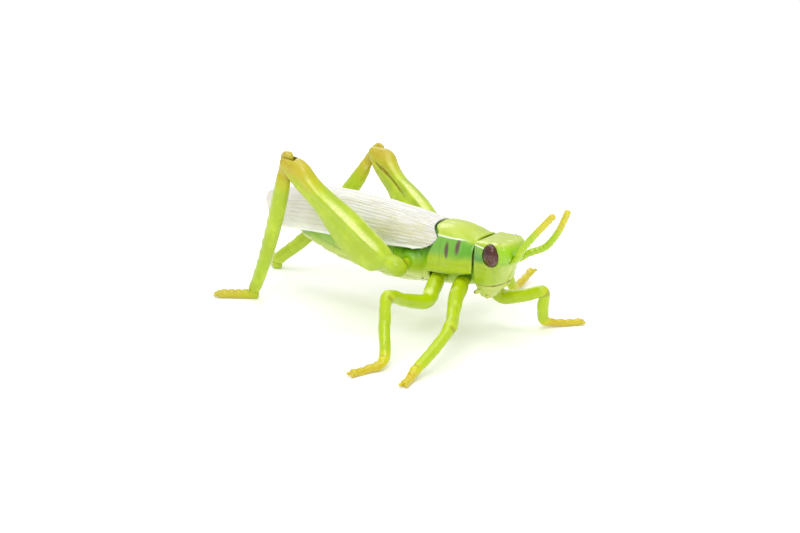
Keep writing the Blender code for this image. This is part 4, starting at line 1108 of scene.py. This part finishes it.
def hind_shank(side_name, knee, ankle, across, leg):
    down = unit(ankle - knee)
    back = np.cross(down, across)
    if back[0] > 0:
        back = -back
    length = float(np.linalg.norm(ankle - knee))
    bow = leg["bow"]
    # distance from the knee, offset to the rear, half depth, half thickness
    tibia_at = hermite(
        (-3.1, 0, 0.3, 0.5), (-2.9, 0, 1.1, 0.95), (-2.3, 0, 1.8, 1.08), (-1.3, 0, 2.15, 1.1),
        (0.4, 0, 2.15, 1.08), (2.8, 0, 1.95, 1.0), (4.4, -0.3 * bow, 2.05, 1.0),
        (5.6, -0.6 * bow, 2.2, 1.5), (7.0, -0.9 * bow, 2.25, 1.7), (10.0, -1.3 * bow, 2.2, 1.85),
        (18.0, -2.0 * bow, 2.15, 1.9), (30.0, -1.9 * bow, 1.95, 1.75),
        (40.0, -0.9 * bow, 1.75, 1.6), (length - 2.4, 0.1, 1.7, 1.55),
        (length - 0.9, 0.35, 1.65, 1.45), (length + 0.2, 0.6, 1.3, 1.2),
        (length + 0.7, 0.8, 0.7, 0.7), (length + 0.85, 0.9, 0.25, 0.3))
    stations = [np.linspace(-3.1, 6, 56)[:-1], np.linspace(6, length - 2, 170)[:-1],
                np.linspace(length - 2, length + 0.85, 24)]
    t = spread(np.concatenate(stations), 56)
    turn = (2 * math.pi * np.arange(56) / 56)[None, :] + np.zeros_like(t)
    offset, wide, thick = tibia_at(t)
    stout = 1 + (leg["stout"] - 1) * ease(6, 10, t)
    cos, sin = np.cos(turn), np.sin(turn)
    z, y = cos * (wide * stout) + offset, sin * (thick * stout)
    spines = sum(peak(t, at, 0.85) for at in np.linspace(14, length - 7, 8))
    z = z + 0.22 * spines * ease(0.45, 0.95, cos) + 0.15 * ease(0.5, 1, cos) * ease(8, 12, t)
    furrow = peak(cos, -0.35, 0.22) * ease(9, 14, t) * (1 - ease(length - 8, length - 3, t))
    y = y + np.sign(sin) * (-0.16) * furrow
    skin = knee + t[..., None] * down + y[..., None] * across + z[..., None] * back
    rough_top = (0.1 * lumps(skin, 0.9, seed=72) - 0.06) * (1 - ease(1, 3, t))
    skin = pushed(skin, 0.05 * lumps(skin, 3.0, seed=71) + rough_top, closed=True)
    keep_above(skin, 0.02)
    brown = 1.1 * (1 - ease(1, 13, t)) + leg["ankle_brown"] * ease(length - 8, length, t)
    # painted highlight down the front of the shank, stored as 'ridge'; the fleck values are dark
    # stripes on its head
    fleck = 0.6 * peak(np.sin(t * 2.6 + 2 * z), 1.0, 0.25) * (1 - ease(-0.5, 1.5, t))
    shank = Piece(f"shank_{side_name}").grid(
        skin, brown=brown, ridge=0.25 * peak(cos, -0.9, 0.4) * ease(8, 14, t), olive=0.0,
        fleck=fleck, outer=1.0)
    add_hind_foot(shank, ankle, leg["toe"], leg["foot_brown"])
    shank.make("hind", f"hind_shin_{side_name}", "lime", [f"hind_tibia_{side_name}"],
               cutters=[rod_grid(knee - across * 3, knee + across * 3, radius=1.0)])


def hind_leg(sign, side_name):
    leg = HIND_LEGS[side_name]
    hip, ankle = np.array([HIP_X, HIP_Y * sign, HIP_Z]), np.array(leg["ankle"])
    knee = hip + unit(np.array(leg["knee"]) - hip) * FEMUR_LENGTH
    # across points away from the body
    across = unit(np.cross(knee - hip, ankle - knee))
    if across[1] * sign < 0:
        across = -across
    along = unit(knee - hip)
    up = np.cross(along, across)
    if up[2] < 0:
        up = -up
    thigh(side_name, sign, hip, knee, along, across, up)
    hind_shank(side_name, knee, ankle, across, leg)


# ------------------------------------------------------------------ walking legs
# Each leg runs from its peg, which is control point 0, through its own points.
LEG_KNEE, LEG_ANKLE = 4, 6  # control points
LEG_RADII = [2.2, 2.3, 2.1, 1.8, 1.8, 1.65, 1.5, 1.25, 1.2]
WALKING_LEGS = (
    ("mid_leg_right", MID_PEG, -1, LEG_RADII, (
        (1.0, -9.4, 14.3), (2.0, -14.0, 12.1), (0.7, -22.0, 14.3), (1.2, -30.6, 17.4),
        (2.4, -33.6, 10.8), (5.7, -38.4, 2.6), (3.9, -43.6, 0.95), (2.5, -48.6, 0.95))),
    ("mid_leg_left", MID_PEG, 1, [2.1, 1.95] + LEG_RADII[2:], (
        (0.1, 9.2, 13.9), (-1.2, 14.0, 11.9), (-2.4, 21.5, 13.0), (-2.9, 29.6, 15.4),
        (-3.0, 32.6, 9.4), (-3.1, 36.8, 1.7), (-3.5, 42.6, 2.0), (-4.0, 48.6, 3.8))),
    ("front_leg_right", FRONT_PEG, -1, LEG_RADII, (
        (9.6, -9.2, 15.2), (11.6, -13.2, 14.6), (14.4, -18.2, 12.6), (17.8, -24.6, 10.5),
        (17.7, -31.0, 6.6), (17.2, -39.4, 2.5), (17.7, -43.0, 0.95), (18.6, -46.4, 0.95))),
    ("front_leg_left", FRONT_PEG, 1, LEG_RADII, (
        (9.6, 7.6, 13.0), (12.0, 9.0, 9.4), (18.0, 11.0, 10.3), (23.2, 12.9, 11.7),
        (22.4, 14.2, 6.4), (22.0, 16.0, 2.2), (25.6, 20.4, 0.95), (29.2, 24.6, 0.95))))


def walking_leg(name, peg, sign, radii, controls):
    peg_x, peg_y = peg[0], peg[1] * sign
    line, control, _ = even_path([(peg_x, peg_y, 17.0), *controls], 230)
    last = len(controls)
    size = hermite(*enumerate(radii))(control)[0]
    size = size * (1 + 0.1 * peak(control, LEG_KNEE, 0.22) + 0.05 * peak(control, 2.6, 0.5))
    size = size * (1 - 0.1 * peak(control, LEG_KNEE + 0.45, 0.2))
    foot = ease(LEG_ANKLE, LEG_ANKLE + 0.35, control)
    wide = size * (1 - 0.1 * foot) * (1 + 0.22 * ease(last - 0.35, last, control))
    skin = tube_grid(line, wide, size * (1 - 0.26 * foot), around=40)
    normals = normals_of(skin, closed=True)
    nx, ny, nz = np.moveaxis(normals, -1, 0)
    at, foot = control[:, None], foot[:, None]
    pads = np.abs(np.sin((last - at) * math.pi * 2.2))
    top = ease(0.2, 0.8, nz) * foot
    groove = peak(ny * sign * -0.4 + nx, 0.85, 0.12) * (1 - foot) * ease(1.2, 1.8, at)
    notch = peak(at, LEG_KNEE + 0.12, 0.1) * ease(-0.2, 0.5, nz * 0.3 + nx * 0.5 - ny * sign * 0.5)
    notch = notch + 0.8 * peak(at, LEG_ANKLE - 0.1, 0.07) * ease(0.1, 0.7, nz)
    amount = 0.1 * lumps(skin, 3.0, seed=81) + 0.05 * lumps(skin, 1.2, seed=82)
    amount = amount - 0.1 * groove - 0.16 * notch + 0.26 * top * pads
    skin = skin + normals * amount[..., None]
    keep_above(skin)
    brown = 0.95 * ease(LEG_ANKLE - 0.9, LEG_ANKLE + 0.6, at) + 0.35 * peak(at, LEG_KNEE, 0.25)
    # painted highlight on the upper leg where it faces up and outwards, stored as 'ridge'
    shine = peak(at, 1.6, 0.5) * ease(0.1, 0.9, nz * 0.5 - ny * sign * -0.5)
    leg = Piece(name + "_look").grid(skin, brown=brown, notch=notch, ridge=np.clip(shine, 0, 1))
    upright = np.array([[peg_x, peg_y, z] for z in np.linspace(15.2, 18.6, 16)])
    leg.grid(tube_grid(upright, np.full(16, 2.35), around=40, start=(1, 0, 0)))
    add_claws(leg, line[-1], unit(line[-1] - line[-12]), back=1.5, middle=(-0.1, 0.7),
              end=(0.7, 1.15), drop=0.1, count=18, radii=(0.7, 0.45), brown=1.0)
    leg.make("leg", name, "lime", [name])


# ------------------------------------------------------------------ inner pieces
def inner_pieces():
    """The neck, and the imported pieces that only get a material."""
    line = np.array([[x, 0, 24.5] for x in np.linspace(4.3, 13.2, 30)])
    wide = 2.2 + 0.5 * peak(line[:, 0], 11.4, 0.6)
    Piece("neck_stub").grid(tube_grid(line, wide, around=40, rounded=False)).make(
        "inner", "body", "inner", ["neck_peg"])
    for name in ("thorax_frame", "knee_pin_left", "knee_pin_right"):
        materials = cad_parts[name].data.materials
        materials.clear()
        materials.append(MATERIALS["inner"])


# ------------------------------------------------------------------ stage, light and camera
# metres: name, place, diameter, watts
SOFTBOXES = (
    ("top_box", (0.05, -0.05, 0.75), 0.7, 2.5),
    ("key_box", (0.35, -0.55, 0.55), 0.35, 1.8),
    ("rim_box", (-0.5, 0.45, 0.5), 0.4, 1.0))
LIGHT_AIM = Vector((0, 0, 0.02))
FLOOR_HALF = 4  # metres
CAMERA_PLACE = (348.886, -486.410, 212.665)
AZIMUTH, ELEVATION = math.radians(37), math.radians(18)


def floor():
    mesh = bpy.data.meshes.new("floor")
    corners = [(x * FLOOR_HALF, y * FLOOR_HALF, 0) for x, y in ((-1, -1), (1, -1), (1, 1), (-1, 1))]
    mesh.from_pydata(corners, [], [(0, 1, 2, 3)])
    obj = linked("floor", mesh)
    ground = bpy.data.materials.new("floor_white")
    ground.use_nodes = True
    # the floor glows faintly, which lifts its shadows and lights the insect's undersides from below
    for key, value in {
        "Base Color": (0.95, 0.95, 0.94, 1), "Roughness": 0.6, "Specular IOR Level": 0.1,
        "Emission Color": (1, 1, 1, 1), "Emission Strength": 0.12,
    }.items():
        ground.node_tree.nodes["Principled BSDF"].inputs[key].default_value = value
    mesh.materials.append(ground)


def lights():
    world = bpy.context.scene.world or bpy.data.worlds.new("studio")
    bpy.context.scene.world = world
    world.use_nodes = True
    background = world.node_tree.nodes["Background"]
    background.inputs["Color"].default_value = (1, 1, 1, 1)
    background.inputs["Strength"].default_value = 0.64
    for name, place, size, power in SOFTBOXES:
        data = bpy.data.lights.new(name, "AREA")
        data.shape, data.size, data.energy = "DISK", size, power
        lamp = linked(name, data)
        lamp.location = place
        lamp.rotation_euler = (LIGHT_AIM - Vector(place)).to_track_quat("-Z", "Y").to_euler()


def view():
    scene = bpy.context.scene
    data = bpy.data.cameras.new("view")
    data.lens, data.sensor_width = 100, 36
    data.clip_start, data.clip_end = 0.01, 20
    camera = linked("view", data)
    x, y, z = CAMERA_PLACE
    camera.location = ((x + SHIFT_X) * SCALE, y * SCALE, z * SCALE)
    level = math.cos(ELEVATION)
    back = Vector((math.sin(AZIMUTH) * level, -math.cos(AZIMUTH) * level, math.sin(ELEVATION)))
    camera.rotation_euler = (-back).to_track_quat("-Z", "Y").to_euler()
    scene.camera = camera
    scene.view_settings.view_transform = "Standard"
    scene.view_settings.look = "None"


thorax()
abdomen_back()
abdomen_belly()
sternum()
pronotum()
head()
mouthparts()
for side in SIDES:
    eye(*side)
    feeler(*side)
wings()
for side in SIDES:
    hind_leg(*side)
for row in WALKING_LEGS:
    walking_leg(*row)
inner_pieces()
floor()
lights()
view()

bpy.context.view_layer.update()
